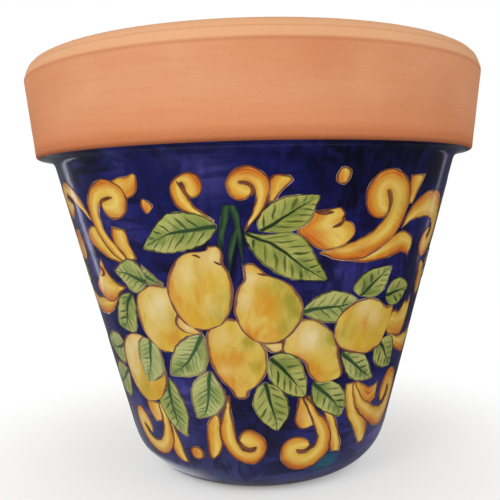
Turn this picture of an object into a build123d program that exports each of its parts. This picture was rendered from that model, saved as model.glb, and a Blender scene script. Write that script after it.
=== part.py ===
from build123d import *
from math import atan2, cos, degrees, radians, sin, tan
import os

# A cone planter: one turned and fired clay pot with a thick bare rim band, and
# the glaze fired onto it from the underside of the band down to the foot.
# The pot stands on its foot at z = 0 with its axis on Z. All sizes are in
# millimetres. The section is drawn as radius and height and turned once.

# Overall form
POT_HEIGHT = 268.0
RIM_DIAMETER = 300.0  # the widest place, at the top of the band's face
FOOT_DIAMETER = 160.0  # where the wall's line would meet the ground
FOOT_ROUNDING = 37.0  # the large soft corner between the wall and the foot

# Rim band
BAND_HEIGHT = 59.0  # from the underside of the band to the top of the pot
BAND_FLARE = 5.3  # how much smaller the radius is at the band's lower edge
LEDGE_WIDTH = 10.8  # how far the band stands out from the wall below it
LEDGE_COVE = 7.0  # hollow rounding where the band's underside meets the wall
BAND_EDGE_ROUNDING = 1.8

# Lip: it leans inward above the band's face and rolls over to the inside
LIP_HEIGHT = 10.5
LIP_LEAN_DEG = 17.0
LIP_BREAK_ROUNDING = 2.5
LIP_OUTER_ROUNDING = 9.0
LIP_INNER_ROUNDING = 4.0
RIM_THICKNESS = 16.0  # from the widest radius in to the mouth

# Cavity
WALL_THICKNESS = 12.5  # measured square to the wall
FLOOR_THICKNESS = 15.0

# Drain hole in the middle of the floor
DRAIN_DIAMETER = 28.0
DRAIN_EDGE_ROUNDING = 1.5

# Glaze over the painted zone
GLAZE_THICKNESS = 0.5
GLAZE_TOP_SETBACK = 0.2  # bare clay between the band's rounded edge and the glaze
GLAZE_STOP_DEG = 74.0  # how far round the foot's rounding the glaze runs

# Heights, radii and angles that follow from the sizes above
LEDGE_Z = POT_HEIGHT - BAND_HEIGHT
FACE_TOP_Z = POT_HEIGHT - LIP_HEIGHT
RIM_RADIUS = RIM_DIAMETER / 2
MOUTH_RADIUS = RIM_RADIUS - RIM_THICKNESS
BAND_LOW_RADIUS = RIM_RADIUS - BAND_FLARE
WALL_TOP_RADIUS = BAND_LOW_RADIUS - LEDGE_WIDTH
FOOT_RADIUS = FOOT_DIAMETER / 2
DRAIN_RADIUS = DRAIN_DIAMETER / 2
CAVITY_ROUNDING = FOOT_ROUNDING - WALL_THICKNESS
TAPER = atan2(WALL_TOP_RADIUS - FOOT_RADIUS, LEDGE_Z)
BAND_LEAN = atan2(BAND_FLARE, BAND_HEIGHT - LIP_HEIGHT)

# Corners of the section, as radius and height
FOOT_CORNER = (FOOT_RADIUS, 0)
LEDGE_CORNER = (WALL_TOP_RADIUS, LEDGE_Z)
BAND_LOW_CORNER = (BAND_LOW_RADIUS, LEDGE_Z)
FACE_TOP_CORNER = (RIM_RADIUS, FACE_TOP_Z)
LIP_OUTER_CORNER = (RIM_RADIUS - LIP_HEIGHT * tan(radians(LIP_LEAN_DEG)), POT_HEIGHT)
MOUTH_CORNER = (MOUTH_RADIUS, POT_HEIGHT)


def cavity_radius(z):
    """Radius of the cavity at a height below the band, parallel to the outer wall."""
    return FOOT_RADIUS + z * tan(TAPER) - WALL_THICKNESS / cos(TAPER)


def rounding_reach(radius, corner_angle):
    """How far a rounding reaches along each side from its corner."""
    return radius / tan(corner_angle / 2)


def rounded(section, corner, radius):
    """Rounds the one corner of the section that lies at this radius and height."""
    spot = Vector(*corner)
    nearest = min(section.vertices(), key=lambda vertex: (Vector(*vertex) - spot).length)
    return fillet(nearest, radius)


def outer_section():
    """Half section of the pot as if it were solid: foot, wall, ledge, band and lip."""
    outline = Polyline(
        (0, 0),
        FOOT_CORNER,
        LEDGE_CORNER,
        BAND_LOW_CORNER,
        FACE_TOP_CORNER,
        LIP_OUTER_CORNER,
        (0, POT_HEIGHT),
        close=True,
    )
    section = make_face(outline)
    section = rounded(section, FOOT_CORNER, FOOT_ROUNDING)
    section = rounded(section, LEDGE_CORNER, LEDGE_COVE)
    section = rounded(section, BAND_LOW_CORNER, BAND_EDGE_ROUNDING)
    section = rounded(section, FACE_TOP_CORNER, LIP_BREAK_ROUNDING)
    return rounded(section, LIP_OUTER_CORNER, LIP_OUTER_ROUNDING)


def clay_section(outer):
    """The outer section with the cavity and the drain hole taken out of it.

    The cavity follows the wall up to the band and steepens a little within it,
    so that the rim is thicker than the wall below.
    """
    cavity_low_corner = (cavity_radius(FLOOR_THICKNESS), FLOOR_THICKNESS)
    hollow = make_face(
        Polyline(
            (0, 0),
            (DRAIN_RADIUS, 0),
            (DRAIN_RADIUS, FLOOR_THICKNESS),
            cavity_low_corner,
            (cavity_radius(LEDGE_Z), LEDGE_Z),
            MOUTH_CORNER,
            (0, POT_HEIGHT),
            close=True,
        )
    )
    section = (outer - hollow).face()
    section = rounded(section, MOUTH_CORNER, LIP_INNER_ROUNDING)
    section = rounded(section, cavity_low_corner, CAVITY_ROUNDING)
    section = rounded(section, (DRAIN_RADIUS, FLOOR_THICKNESS), DRAIN_EDGE_ROUNDING)
    return rounded(section, (DRAIN_RADIUS, 0), DRAIN_EDGE_ROUNDING)


def glazed_zone():
    """The part of the half plane whose outer surface the glaze covers.

    Its top edge lies on the flat underside of the band. Its bottom edge runs
    out square to the foot's rounding, along a ray from that rounding's centre.
    """
    foot_angle = radians(90) + TAPER
    centre = Vector(FOOT_RADIUS - rounding_reach(FOOT_ROUNDING, foot_angle), FOOT_ROUNDING)
    stop = radians(GLAZE_STOP_DEG)
    ray_end = centre + Vector(cos(stop), -sin(stop)) * (FOOT_ROUNDING + 2 * GLAZE_THICKNESS)
    band_angle = radians(90) + BAND_LEAN
    top_radius = (
        BAND_LOW_RADIUS - rounding_reach(BAND_EDGE_ROUNDING, band_angle) - GLAZE_TOP_SETBACK
    )
    return make_face(
        Polyline(
            (centre.X, centre.Y),
            (ray_end.X, ray_end.Y),
            (top_radius, ray_end.Y),
            (top_radius, LEDGE_Z),
            (centre.X, LEDGE_Z),
            close=True,
        )
    )


def turned(section, name):
    """Turns a half section into a solid round Z and names it."""
    solid = revolve(Plane.XZ * section, Axis.Z, 360)
    solid.label = name
    return solid


os.makedirs("parts", exist_ok=True)

outer = outer_section()
clay = clay_section(outer)
glaze = (offset(outer, GLAZE_THICKNESS) - outer) & glazed_zone()

for node in (turned(clay, "clay_body"), turned(glaze, "glaze_coat")):
    export_step(node, f"parts/{node.label}.step")
    size = node.bounding_box().size
    print(f"{node.label}: {node.volume / 1e3:.1f} cm3, {size.X:.1f} x {size.Y:.1f} x {size.Z:.1f} mm")

print(f"wall taper {degrees(TAPER):.2f} degrees from upright")
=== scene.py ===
import math

import bpy
import numpy as np
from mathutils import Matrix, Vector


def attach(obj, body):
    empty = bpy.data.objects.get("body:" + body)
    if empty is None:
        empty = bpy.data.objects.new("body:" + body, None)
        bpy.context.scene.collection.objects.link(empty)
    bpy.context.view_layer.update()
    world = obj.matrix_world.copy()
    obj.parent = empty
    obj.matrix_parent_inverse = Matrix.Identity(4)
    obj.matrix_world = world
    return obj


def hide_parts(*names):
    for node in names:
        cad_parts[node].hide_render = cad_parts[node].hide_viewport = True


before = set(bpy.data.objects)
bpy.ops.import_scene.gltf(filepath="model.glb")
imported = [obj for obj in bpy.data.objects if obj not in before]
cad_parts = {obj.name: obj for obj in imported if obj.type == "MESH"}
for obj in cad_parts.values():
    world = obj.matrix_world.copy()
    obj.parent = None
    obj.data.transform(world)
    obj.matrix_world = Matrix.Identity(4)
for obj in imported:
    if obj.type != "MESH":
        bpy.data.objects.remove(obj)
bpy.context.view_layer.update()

# Sizes of the pot, in millimetres, as the frame has them. The painter's
# drawing is given as turns round the pot in degrees, 0 at the front and
# growing to the right, and as millimetres up the slant of the wall.
MM = 0.001
POT_HEIGHT = 268.0
RIM_RADIUS = 150.0
FOOT_RADIUS = 80.0
FOOT_ROUNDING = 37.0
LEDGE_Z = 209.0
BAND_LOW_RADIUS = 144.7
WALL_TOP_RADIUS = 133.9
LEDGE_COVE = 7.0
BAND_EDGE_ROUNDING = 1.8
FACE_TOP_Z = 257.5
LIP_OUTER_RADIUS = 146.79
LIP_BREAK_ROUNDING = 2.5
LIP_OUTER_ROUNDING = 9.0
LIP_INNER_ROUNDING = 4.0
MOUTH_RADIUS = 134.0
WALL_THICKNESS = 12.5
FLOOR_THICKNESS = 15.0
CAVITY_ROUNDING = FOOT_ROUNDING - WALL_THICKNESS
DRAIN_RADIUS = 14.0
DRAIN_EDGE_ROUNDING = 1.5
GLAZE_THICKNESS = 0.5
GLAZE_TOP_RADIUS = 142.88
GLAZE_STOP = math.radians(74.0)

TAPER = math.atan2(WALL_TOP_RADIUS - FOOT_RADIUS, LEDGE_Z)
ROUNDING_REACH = FOOT_ROUNDING / math.tan((math.pi / 2 + TAPER) / 2)
FOOT_ARC_RADIUS = FOOT_RADIUS - ROUNDING_REACH
APEX_SLANT = FOOT_RADIUS / math.sin(TAPER)


# ---------------------------------------------------------------- wall


def wall_section(slant):
    """Radius, height and outward normal of the glazed wall at a slant distance.

    Above the foot's rounding the wall is a straight cone: radius and height
    grow with the sine and cosine of the taper. Below it the same distance runs
    round an arc of the foot's rounding. The glaze stands out by its thickness.
    """
    angle = np.minimum((slant - ROUNDING_REACH) / FOOT_ROUNDING, 0.0) - TAPER
    out_r = np.cos(angle)
    out_z = np.sin(angle)
    on_cone = slant > ROUNDING_REACH
    cone_radius, cone_height = FOOT_RADIUS + slant * math.sin(TAPER), slant * math.cos(TAPER)
    radius = np.where(on_cone, cone_radius, FOOT_ARC_RADIUS + FOOT_ROUNDING * out_r)
    height = np.where(on_cone, cone_height, FOOT_ROUNDING + FOOT_ROUNDING * out_z)
    return radius + GLAZE_THICKNESS * out_r, height + GLAZE_THICKNESS * out_z, out_r, out_z


def flattened(places, turn):
    """The wall rolled out flat about one turn: a cone opens into a fan whose
    angle is the turn times the sine of the taper, and whose radius is the
    slant distance from the cone's apex. Millimetres, so shapes keep their form.
    """
    fan = np.radians(places[..., 0] - turn) * math.sin(TAPER)
    reach = places[..., 1] + APEX_SLANT
    return np.stack([reach * np.sin(fan), reach * np.cos(fan)], -1)


def unflattened(flat, turn):
    """Turns and slants of places in the flat fan."""
    slant = np.hypot(flat[..., 0], flat[..., 1]) - APEX_SLANT
    fan = np.arctan2(flat[..., 0], flat[..., 1])
    return np.stack([turn + np.degrees(fan / math.sin(TAPER)), slant], -1)


def rolled_up(flat, turn, lift):
    """The flat fan rolled back onto the wall, at a distance out from the glaze, in metres."""
    places = unflattened(flat, turn)
    phi = np.radians(places[..., 0])
    radius, height, out_r, out_z = wall_section(places[..., 1])
    r = radius + lift * out_r
    z = height + lift * out_z
    return np.stack([r * np.sin(phi), -r * np.cos(phi), z], -1) * MM


# ---------------------------------------------------------------- meshes


def new_piece(name, points, faces, flat_faces, material, values):
    """A mesh object from whole arrays: points, quads, which are flat, and values per point."""
    mesh = bpy.data.meshes.new(name)
    mesh.vertices.add(len(points))
    mesh.vertices.foreach_set("co", points.astype(np.float32).ravel())
    mesh.loops.add(faces.size)
    mesh.loops.foreach_set("vertex_index", faces.astype(np.int32).ravel())
    mesh.polygons.add(len(faces))
    mesh.polygons.foreach_set("loop_start", np.arange(0, faces.size, 4, dtype=np.int32))
    mesh.polygons.foreach_set("use_smooth", ~flat_faces)
    mesh.update(calc_edges=True)
    for key, value in values.items():
        layer = mesh.attributes.new(key, "FLOAT_VECTOR", "POINT")
        layer.data.foreach_set("vector", value.astype(np.float32).ravel())
    mesh.materials.append(material)
    piece = bpy.data.objects.new(name, mesh)
    bpy.context.scene.collection.objects.link(piece)
    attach(piece, "root")
    return piece


def quads(grid):
    """Four-cornered faces between the neighbours of a grid of point numbers."""
    corners = (grid[:-1, :-1], grid[1:, :-1], grid[1:, 1:], grid[:-1, 1:])
    return np.stack(corners, -1).reshape(-1, 4)


def volume_of(points, faces):
    """Signed volume of a closed mesh of quads, as the sum of its corner tetrahedra."""
    a, b, c, d = (points[faces[:, i]] for i in range(4))
    return ((a * np.cross(b, c)).sum(1) + (a * np.cross(c, d)).sum(1)).sum() / 6


def length_of(points):
    """Length of a line through points."""
    return np.linalg.norm(np.diff(points, axis=0), axis=1).sum()


def run_along(points):
    """Length reached at each point of a line."""
    return np.concatenate([[0], np.cumsum(np.linalg.norm(np.diff(points, axis=0), axis=1))])


# An arc has this many times the steps of a straight run as long, and never fewer than these
ARC_FINENESS = 1.6
LEAST_ARC_POINTS = 5


def rounded_outline(corners, roundings, spacing):
    """Points round a closed outline whose corners are arcs, with the run's length at each.

    An arc of radius q at a corner touches both sides at q / tan(half the
    corner's angle), and its centre lies on the corner's bisector at
    q / sin(half the angle). Arc points turn evenly from one touch to the other.
    """
    corners = np.asarray(corners, float)
    parts = []
    for i, (corner, q) in enumerate(zip(corners, roundings)):
        back = corners[i - 1] - corner
        ahead = corners[(i + 1) % len(corners)] - corner
        back, ahead = back / np.linalg.norm(back), ahead / np.linalg.norm(ahead)
        half = math.acos(np.clip(back @ ahead, -1, 1)) / 2
        if q == 0:
            parts.append(corner[None])
            continue
        centre = corner + (back + ahead) / np.linalg.norm(back + ahead) * q / math.sin(half)
        start = corner + back * q / math.tan(half) - centre
        end = corner + ahead * q / math.tan(half) - centre
        sweep = math.pi - 2 * half
        steps = max(LEAST_ARC_POINTS, int(sweep * q / spacing * ARC_FINENESS))
        t = np.linspace(0, 1, steps)[:, None]
        turned = start * np.sin((1 - t) * sweep) + end * np.sin(t * sweep)
        parts.append(centre + turned / math.sin(sweep))
    bends = np.vstack(parts)
    closed = np.vstack([bends, bends[:1]])
    run = run_along(closed)
    added = [
        np.linspace(a, b, int(gap / spacing) + 2)[1:-1]
        for a, b, gap in zip(run[:-1], run[1:], np.linalg.norm(np.diff(closed, axis=0), axis=1))
    ]
    stops = np.unique(np.concatenate([run[:-1], *added]))
    return np.stack([np.interp(stops, run, closed[:, k]) for k in (0, 1)], -1), stops


def turned_piece(name, outline, run, segments, material, shift):
    """A closed outline turned about Z: the point at radius r, height z and turn
    phi is (r sin phi, -r cos phi, z). shift gives a change of radius for each
    run and turn. Values kept: run round the outline, radius and height in mm.
    """
    phi = np.linspace(0, 2 * math.pi, segments, endpoint=False)
    r = outline[:, :1] + shift(run[:, None], phi[None, :])
    z = np.broadcast_to(outline[:, 1:], r.shape)
    points = np.stack([r * np.sin(phi), -r * np.cos(phi), z], -1).reshape(-1, 3) * MM
    grid = np.arange(r.size).reshape(r.shape)
    grid = np.vstack([grid, grid[:1]])
    grid = np.hstack([grid, grid[:, :1]])
    faces = quads(grid)
    if volume_of(points, faces) < 0:
        faces = faces[:, ::-1]
    values = np.stack([np.broadcast_to(run[:, None], r.shape), r, z], -1).reshape(-1, 3)
    none_flat = np.zeros(len(faces), bool)
    piece = new_piece(name, points, faces, none_flat, material, {"turning": values})
    return piece, phi, r, z


def through(points, knots, stops):
    """A smooth curve through points: on each span a cubic, whose slope at a
    point is the mean of the two chords there, each weighted by the other's length.
    """
    span = np.diff(knots)[:, None]
    slope = np.diff(points, axis=0) / span
    middle = (span[1:] * slope[:-1] + span[:-1] * slope[1:]) / (span[1:] + span[:-1])
    tangent = np.vstack([slope[:1], middle, slope[-1:]])
    i = np.clip(np.searchsorted(knots, stops, side="right") - 1, 0, len(span) - 1)
    x = ((stops - knots[i]) / span[i, 0])[:, None]
    a, b = points[i], points[i + 1]
    m, n = tangent[i] * span[i], tangent[i + 1] * span[i]
    near, far = 2 * x**3 - 3 * x**2 + 1, 3 * x**2 - 2 * x**3
    return near * a + (x**3 - 2 * x**2 + x) * m + far * b + (x**3 - x**2) * n


def chord_knots(points):
    """Share of the whole length reached at each point of a line."""
    run = run_along(points)
    return run / run[-1]


def bunched(stops, share):
    """Even stops from 0 to 1, drawn together towards both ends by a share."""
    return share * (0.5 - 0.5 * np.cos(math.pi * stops)) + (1 - share) * stops


def steps_for(length, pitch, least, most):
    """How many grid lines a length gets at a pitch, within limits."""
    return int(np.clip(length / pitch, least, most))


# Height of the paint above the glaze, in millimetres: each layer that overlaps
# another is laid a little higher, and each stroke is thinner towards its edge.
LAYER_BASE = 0.05
LAYER_STEP = 0.07
BRUSH_BODY = 0.03
BRUSH_EDGE = 1.2
PAINT_SINK = 0.25
LEAST_WIDTH = 0.12
HAND_WOBBLE = 0.22
WOBBLE_LENGTHS = (9.0, 17.0, 31.0)
WOBBLE_GAIN = 1.6
# The drawing's points lie on the colour's edge; the shape is wider by room for its outline
OUTLINE_ROOM = 0.5
THIN_STROKE = 1.6  # a stroke narrower than this gets less of that room
# Grid of a patch: pitch in millimetres, then the least and the most lines
GRID_ALONG = (1.15, 14, 190)
GRID_ACROSS = (1.4, 7, 26)
MEASURING_STOPS = np.linspace(0, 1, 60)
BLUNT_BUNCHING, ACROSS_BUNCHING = 0.65, 0.5
TOOTH_PITCH = 5.2
END_ROOM = 0.1  # paint past a shape's first and last point, as its outline sees it


def hand_wobble(stops, length, rng, size):
    """A slow, uneven drift of a brush edge: three sine waves of unlike length and start."""
    waves = length / np.array(WOBBLE_LENGTHS)[:, None] * 2 * math.pi
    starts = rng.uniform(0, 2 * math.pi, (len(WOBBLE_LENGTHS), 1))
    return size * np.sin(waves * stops[None, :] + starts).mean(0) * WOBBLE_GAIN


def hand_drawn(first, second, turn, rng, teeth, blunt):
    """Both edges of a shape in the flat fan, as smooth curves through their points.

    They are set apart by the room for the outline, then wobble like a hand's.
    A leaf's edges also have teeth: a saw wave that fades out at both ends.
    """
    a, b = flattened(first, turn), flattened(second, turn)
    ka, kb = chord_knots(a), chord_knots(b)
    if len(a) == len(b):
        ka = kb = (ka + kb) / 2
    length = length_of((through(a, ka, MEASURING_STOPS) + through(b, kb, MEASURING_STOPS)) / 2)
    longest = max(length, length_of(a), length_of(b))
    u = np.linspace(0, 1, steps_for(longest, *GRID_ALONG))
    if blunt:
        u = bunched(u, BLUNT_BUNCHING)
    left, right = through(a, ka, u), through(b, kb, u)
    across = right - left
    width = np.maximum(np.linalg.norm(across, axis=1), LEAST_WIDTH)
    sideways = across / np.maximum(np.linalg.norm(across, axis=1), 1e-6)[:, None]
    give = np.minimum(width / 6, 1.0)
    spread = (OUTLINE_ROOM * np.minimum(width / THIN_STROKE, 1.0))[:, None]
    left, right = left - sideways * spread, right + sideways * spread
    left = left - sideways * (hand_wobble(u, length, rng, HAND_WOBBLE) * give)[:, None]
    right = right + sideways * (hand_wobble(u, length, rng, HAND_WOBBLE) * give)[:, None]
    if teeth:
        fade = np.sin(math.pi * u) ** 0.5
        saw = (u * length / TOOTH_PITCH + rng.uniform()) % 1.0
        bite = (teeth * fade * (saw - 0.5))[:, None]
        left, right = left + sideways * bite, right - sideways * bite
    return left, right, width.max()


def painted_patch(
    name, first, second, layer, material, tone=0.5, washes=(), teeth=0.0, blunt=False
):
    """A painted shape on the wall, ruled straight across between its two hand-drawn edges.

    Both edges are smooth curves through their points in the flat fan. With u
    along and v across, the surface is edge one times (1 - v) plus edge two
    times v, rolled up onto the wall. It closes underneath, sunk in the glaze.
    Kept for each point: millimetres along and across and the piece's tone, the
    share across and the distance to the nearest edge, and three colour washes,
    each the sum of soft round dabs.
    """
    first, second = np.asarray(first, float), np.asarray(second, float)
    rng = np.random.default_rng(int(abs(first.sum() * 10 + second.sum())) + layer)
    turn = (first[:, 0].mean() + second[:, 0].mean()) / 2
    left, right, widest = hand_drawn(first, second, turn, rng, teeth, blunt)
    v = bunched(np.linspace(0, 1, steps_for(widest, *GRID_ACROSS)), ACROSS_BUNCHING)
    flat = left[:, None] * (1 - v)[None, :, None] + right[:, None] * v[None, :, None]
    middle = flat[:, len(v) // 2]
    along = run_along(middle)
    run = np.broadcast_to(along[:, None], flat.shape[:2])
    wide = np.linalg.norm(right - left, axis=1)[:, None]
    from_ends = np.minimum(run, along[-1] - run) + END_ROOM
    edge = np.minimum(np.minimum(v, 1 - v)[None, :] * wide, from_ends)
    body = 1 - (1 - np.minimum(edge / BRUSH_EDGE, 1)) ** 2
    top = rolled_up(flat, turn, LAYER_BASE + LAYER_STEP * layer + BRUSH_BODY * body)
    under = rolled_up(flat, turn, -PAINT_SINK)
    nu, nv = flat.shape[:2]
    points = np.concatenate([top.reshape(-1, 3), under.reshape(-1, 3)])
    grid = np.arange(nu * nv).reshape(nu, nv)
    low = grid + nu * nv
    upper, lower = quads(grid), quads(low)[:, ::-1]
    rim = np.concatenate([grid[:, 0], grid[-1, 1:], grid[::-1, -1][1:], grid[0, ::-1][1:]])
    skirt = quads(np.stack([rim, rim + nu * nv]))[:, ::-1]
    faces = np.concatenate([upper, lower, skirt])
    if volume_of(points, faces) < 0:
        faces = faces[:, ::-1]
    flat_faces = np.arange(len(faces)) >= len(upper) + len(lower)
    dabs = np.zeros((*flat.shape[:2], 3))
    for kind, phi, slant, reach, strength in washes:
        spot = flattened(np.array([phi, slant], float), turn)
        dabs[..., kind] += strength * np.exp(-(((flat - spot) / reach) ** 2).sum(-1))
    brush = np.stack([run, v[None, :] * wide, np.full(run.shape, tone)], -1)
    place = np.stack([np.broadcast_to(v[None, :], run.shape), edge, run / along[-1]], -1)
    kept = {"brush": brush, "place": place, "wash": dabs}
    values = {key: np.tile(value.reshape(-1, 3), (2, 1)) for key, value in kept.items()}
    piece = new_piece(name, points, faces, flat_faces, material, values)
    return piece


LINE_STOPS = 7
LINE_END_SHARE = 0.25  # width of a line's ends, as a share of its middle's


def brush_line(name, points, width, layer, material):
    """A thin painted line through its points: both edges lie half the width to
    the sides of it, square to its run in the flat fan, and taper to the ends.
    """
    points = np.asarray(points, float)
    turn = points[:, 0].mean()
    flat = flattened(points, turn)
    stops = np.linspace(0, 1, LINE_STOPS)
    line = through(flat, chord_knots(flat), stops)
    ahead = np.gradient(line, axis=0)
    square = np.stack([-ahead[:, 1], ahead[:, 0]], -1) / np.linalg.norm(ahead, axis=1)[:, None]
    swell = LINE_END_SHARE + (1 - LINE_END_SHARE) * np.sin(math.pi * stops) ** 0.6
    half = (width / 2 * swell)[:, None]
    first, second = (unflattened(line + side * square * half, turn) for side in (1, -1))
    painted_patch(name, first, second, layer, material)


# ---------------------------------------------------------------- shader tools


def srgb(red, green, blue):
    """A colour as the eye reads it, 0 to 255, made linear."""
    share = np.array([red, green, blue]) / 255
    linear = np.where(share > 0.04045, ((share + 0.055) / 1.055) ** 2.4, share / 12.92)
    return (*map(float, linear), 1.0)


def node(tree, kind, inputs=None, **settings):
    """A node with its settings, and its inputs either linked or given a value."""
    made = tree.nodes.new(kind)
    for key, value in settings.items():
        setattr(made, key, value)
    for key, value in (inputs or {}).items():
        if isinstance(value, bpy.types.NodeSocket):
            tree.links.new(value, made.inputs[key])
        else:
            made.inputs[key].default_value = value
    return made


def maths(tree, operation, first, second=0.0, clamp=False):
    given = {0: first, 1: second}
    made = node(tree, "ShaderNodeMath", given, operation=operation, use_clamp=clamp)
    return made.outputs[0]


def times(tree, first, second):
    return maths(tree, "MULTIPLY", first, second)


def plus(tree, first, second, clamp=False):
    return maths(tree, "ADD", first, second, clamp)


def minus(tree, first, second):
    return maths(tree, "SUBTRACT", first, second)


def mixed(tree, share, first, second):
    """Two colours mixed by a share."""
    given = {0: share, 6: first, 7: second}
    return node(tree, "ShaderNodeMix", given, data_type="RGBA", clamp_factor=True).outputs[2]


def coated(tree, colour, *coats):
    """A colour with coats laid over it in turn, each given as its share and its colour."""
    for share, coat in coats:
        colour = mixed(tree, share, colour, coat)
    return colour


def blended(tree, share, first, second):
    """Two values mixed by a share."""
    given = {0: share, 2: first, 3: second}
    return node(tree, "ShaderNodeMix", given, data_type="FLOAT").outputs[0]


def smooth_step(tree, value, low, high, first=0.0, last=1.0):
    """Rises softly from first to last while value goes from low to high."""
    given = {"Value": value, "From Min": low, "From Max": high, "To Min": first, "To Max": last}
    made = node(tree, "ShaderNodeMapRange", given, interpolation_type="SMOOTHSTEP")
    return made.outputs["Result"]


def between(tree, value, rise, fall):
    """1 where a value is past its rise and short of its fall, 0 outside them."""
    risen = smooth_step(tree, value, *rise)
    return times(tree, risen, smooth_step(tree, value, *fall, 1.0, 0.0))


def noise(tree, place, scale, detail=3.0, rough=0.55, distortion=0.0):
    given = {"Vector": place, "Scale": scale, "Detail": detail, "Roughness": rough}
    return node(tree, "ShaderNodeTexNoise", {**given, "Distortion": distortion}).outputs["Fac"]


def scattered(tree, place, scale):
    """Distance to the nearest of many scattered points."""
    given = {"Vector": place, "Scale": scale}
    return node(tree, "ShaderNodeTexVoronoi", given, feature="F1").outputs["Distance"]


def squeezed(tree, place, scale, turned=(0.0, 0.0, 0.0)):
    """Places scaled and turned, so that noise read there is drawn out."""
    given = {"Vector": place, "Scale": scale, "Rotation": turned}
    return node(tree, "ShaderNodeMapping", given).outputs[0]


def attribute(tree, name):
    """The three parts of a value kept on the piece's points."""
    found = node(tree, "ShaderNodeAttribute", attribute_name=name)
    parts = node(tree, "ShaderNodeSeparateXYZ", {0: found.outputs["Vector"]})
    return parts.outputs["X"], parts.outputs["Y"], parts.outputs["Z"]


def vector(tree, x, y, z):
    return node(tree, "ShaderNodeCombineXYZ", {"X": x, "Y": y, "Z": z}).outputs[0]


def object_place(tree):
    return node(tree, "ShaderNodeTexCoord").outputs["Object"]


def new_group(name, inputs, outputs):
    """A shader group with named inputs (name, kind, value) and outputs (name, kind)."""
    group = bpy.data.node_groups.new(name, "ShaderNodeTree")
    for label, kind, value in inputs:
        socket = group.interface.new_socket(label, in_out="INPUT", socket_type=kind)
        if value is not None:
            socket.default_value = value
    for label, kind in outputs:
        group.interface.new_socket(label, in_out="OUTPUT", socket_type=kind)
    return group, group.nodes.new("NodeGroupInput"), group.nodes.new("NodeGroupOutput")


def placed(tree, group, inputs):
    """One use of a shader group with its own values."""
    return node(tree, "ShaderNodeGroup", inputs, node_tree=group)


def new_material(name):
    material = bpy.data.materials.new(name)
    material.use_nodes = True
    tree = material.node_tree
    tree.nodes.clear()
    surface = tree.nodes.new("ShaderNodeBsdfPrincipled")
    out = tree.nodes.new("ShaderNodeOutputMaterial")
    tree.links.new(surface.outputs[0], out.inputs["Surface"])
    return material, tree, surface


def finish(tree, surface, colour, roughness, height, bump_metres, bump_strength):
    """Gives a surface its colour, roughness and relief."""
    given = {"Height": height, "Distance": bump_metres, "Strength": bump_strength}
    bump = node(tree, "ShaderNodeBump", given)
    tree.links.new(colour, surface.inputs["Base Color"])
    tree.links.new(roughness, surface.inputs["Roughness"])
    tree.links.new(bump.outputs[0], surface.inputs["Normal"])


# ---------------------------------------------------------------- shared effects

FLOAT = "NodeSocketFloat"

# How noise is squeezed into brush marks, per millimetre along and across the stroke
STREAK_SCALE = (0.05, 0.62)
POOL_SCALE = (0.055, 0.09)
SEED_SPREAD = 37.0


def brush_marks_group():
    """Marks left by a loaded brush: fine streaks along the stroke, as noise
    squeezed across it, and slow changes of strength where the paint pooled.
    """
    group, given, out = new_group(
        "brush_marks",
        [("Along mm", FLOAT, 0.0), ("Across mm", FLOAT, 0.0), ("Seed", FLOAT, 0.0)],
        [("Streak", FLOAT), ("Pool", FLOAT)],
    )
    along, across = given.outputs["Along mm"], given.outputs["Across mm"]
    seed = times(group, given.outputs["Seed"], SEED_SPREAD)

    def drawn_out(per_along, per_across):
        return vector(group, times(group, along, per_along), times(group, across, per_across), seed)

    streak = noise(group, drawn_out(*STREAK_SCALE), 1.0, 4.0, 0.6, 0.35)
    pool = noise(group, drawn_out(*POOL_SCALE), 1.0, 2.0, 0.5, 0.2)
    group.links.new(streak, out.inputs["Streak"])
    group.links.new(pool, out.inputs["Pool"])
    return group


def outline_group():
    """The dark line round a painted shape: 1 within a width of the edge, where
    the width wanders with slow noise and the line thins out here and there. The
    halo is a thin bare line at the very edge, seen in places only.
    """
    group, given, out = new_group(
        "brush_outline",
        [("Edge mm", FLOAT, 0.0), ("Width mm", FLOAT, 1.0), ("Fade", FLOAT, 0.3)],
        [("Line", FLOAT), ("Halo", FLOAT)],
    )
    place = object_place(group)
    edge = given.outputs["Edge mm"]
    wander = smooth_step(group, noise(group, place, 90.0, 2.0, 0.5), 0.3, 0.7, 0.55, 1.45)
    width = times(group, given.outputs["Width mm"], wander)
    shifted = minus(group, edge, times(group, noise(group, place, 420.0, 2.0), 0.35))
    full, gone = times(group, width, 0.55), times(group, width, 1.35)
    line = smooth_step(group, shifted, full, gone, 1.0, 0.0)
    thin = smooth_step(group, noise(group, place, 38.0, 2.0), 0.42, 0.62)
    strength = minus(group, 1.0, times(group, thin, given.outputs["Fade"]))
    group.links.new(times(group, line, strength), out.inputs["Line"])
    pale = smooth_step(group, edge, 0.12, 0.42, 1.0, 0.0)
    seen = smooth_step(group, noise(group, place, 62.0, 2.0), 0.52, 0.66)
    group.links.new(times(group, pale, seen), out.inputs["Halo"])
    return group


def fired_glaze_group():
    """The fired glass skin: slow waves and a fine orange peel for the height,
    a few pinholes, and a roughness that varies a little with a dusty film.
    """
    group, given, out = new_group(
        "fired_glaze", [("Base", FLOAT, 0.2)], [("Height", FLOAT), ("Roughness", FLOAT)]
    )
    place = object_place(group)
    waves = noise(group, place, 55.0, 2.0)
    peel = times(group, noise(group, place, 520.0, 2.0), 0.16)
    pits = smooth_step(group, scattered(group, place, 160.0), 0.03, 0.09, 1.0, 0.0)
    pits = times(group, pits, -0.35)
    rare = smooth_step(group, noise(group, place, 24.0, 1.0), 0.58, 0.66)
    height = plus(group, plus(group, waves, peel), times(group, pits, rare))
    group.links.new(height, out.inputs["Height"])
    film = smooth_step(group, noise(group, place, 13.0, 4.0, 0.6), 0.42, 0.72, 0.0, 0.06)
    group.links.new(plus(group, given.outputs["Base"], film), out.inputs["Roughness"])
    return group


BRUSH_MARKS = brush_marks_group()
OUTLINE = outline_group()
FIRED_GLAZE = fired_glaze_group()

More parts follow.
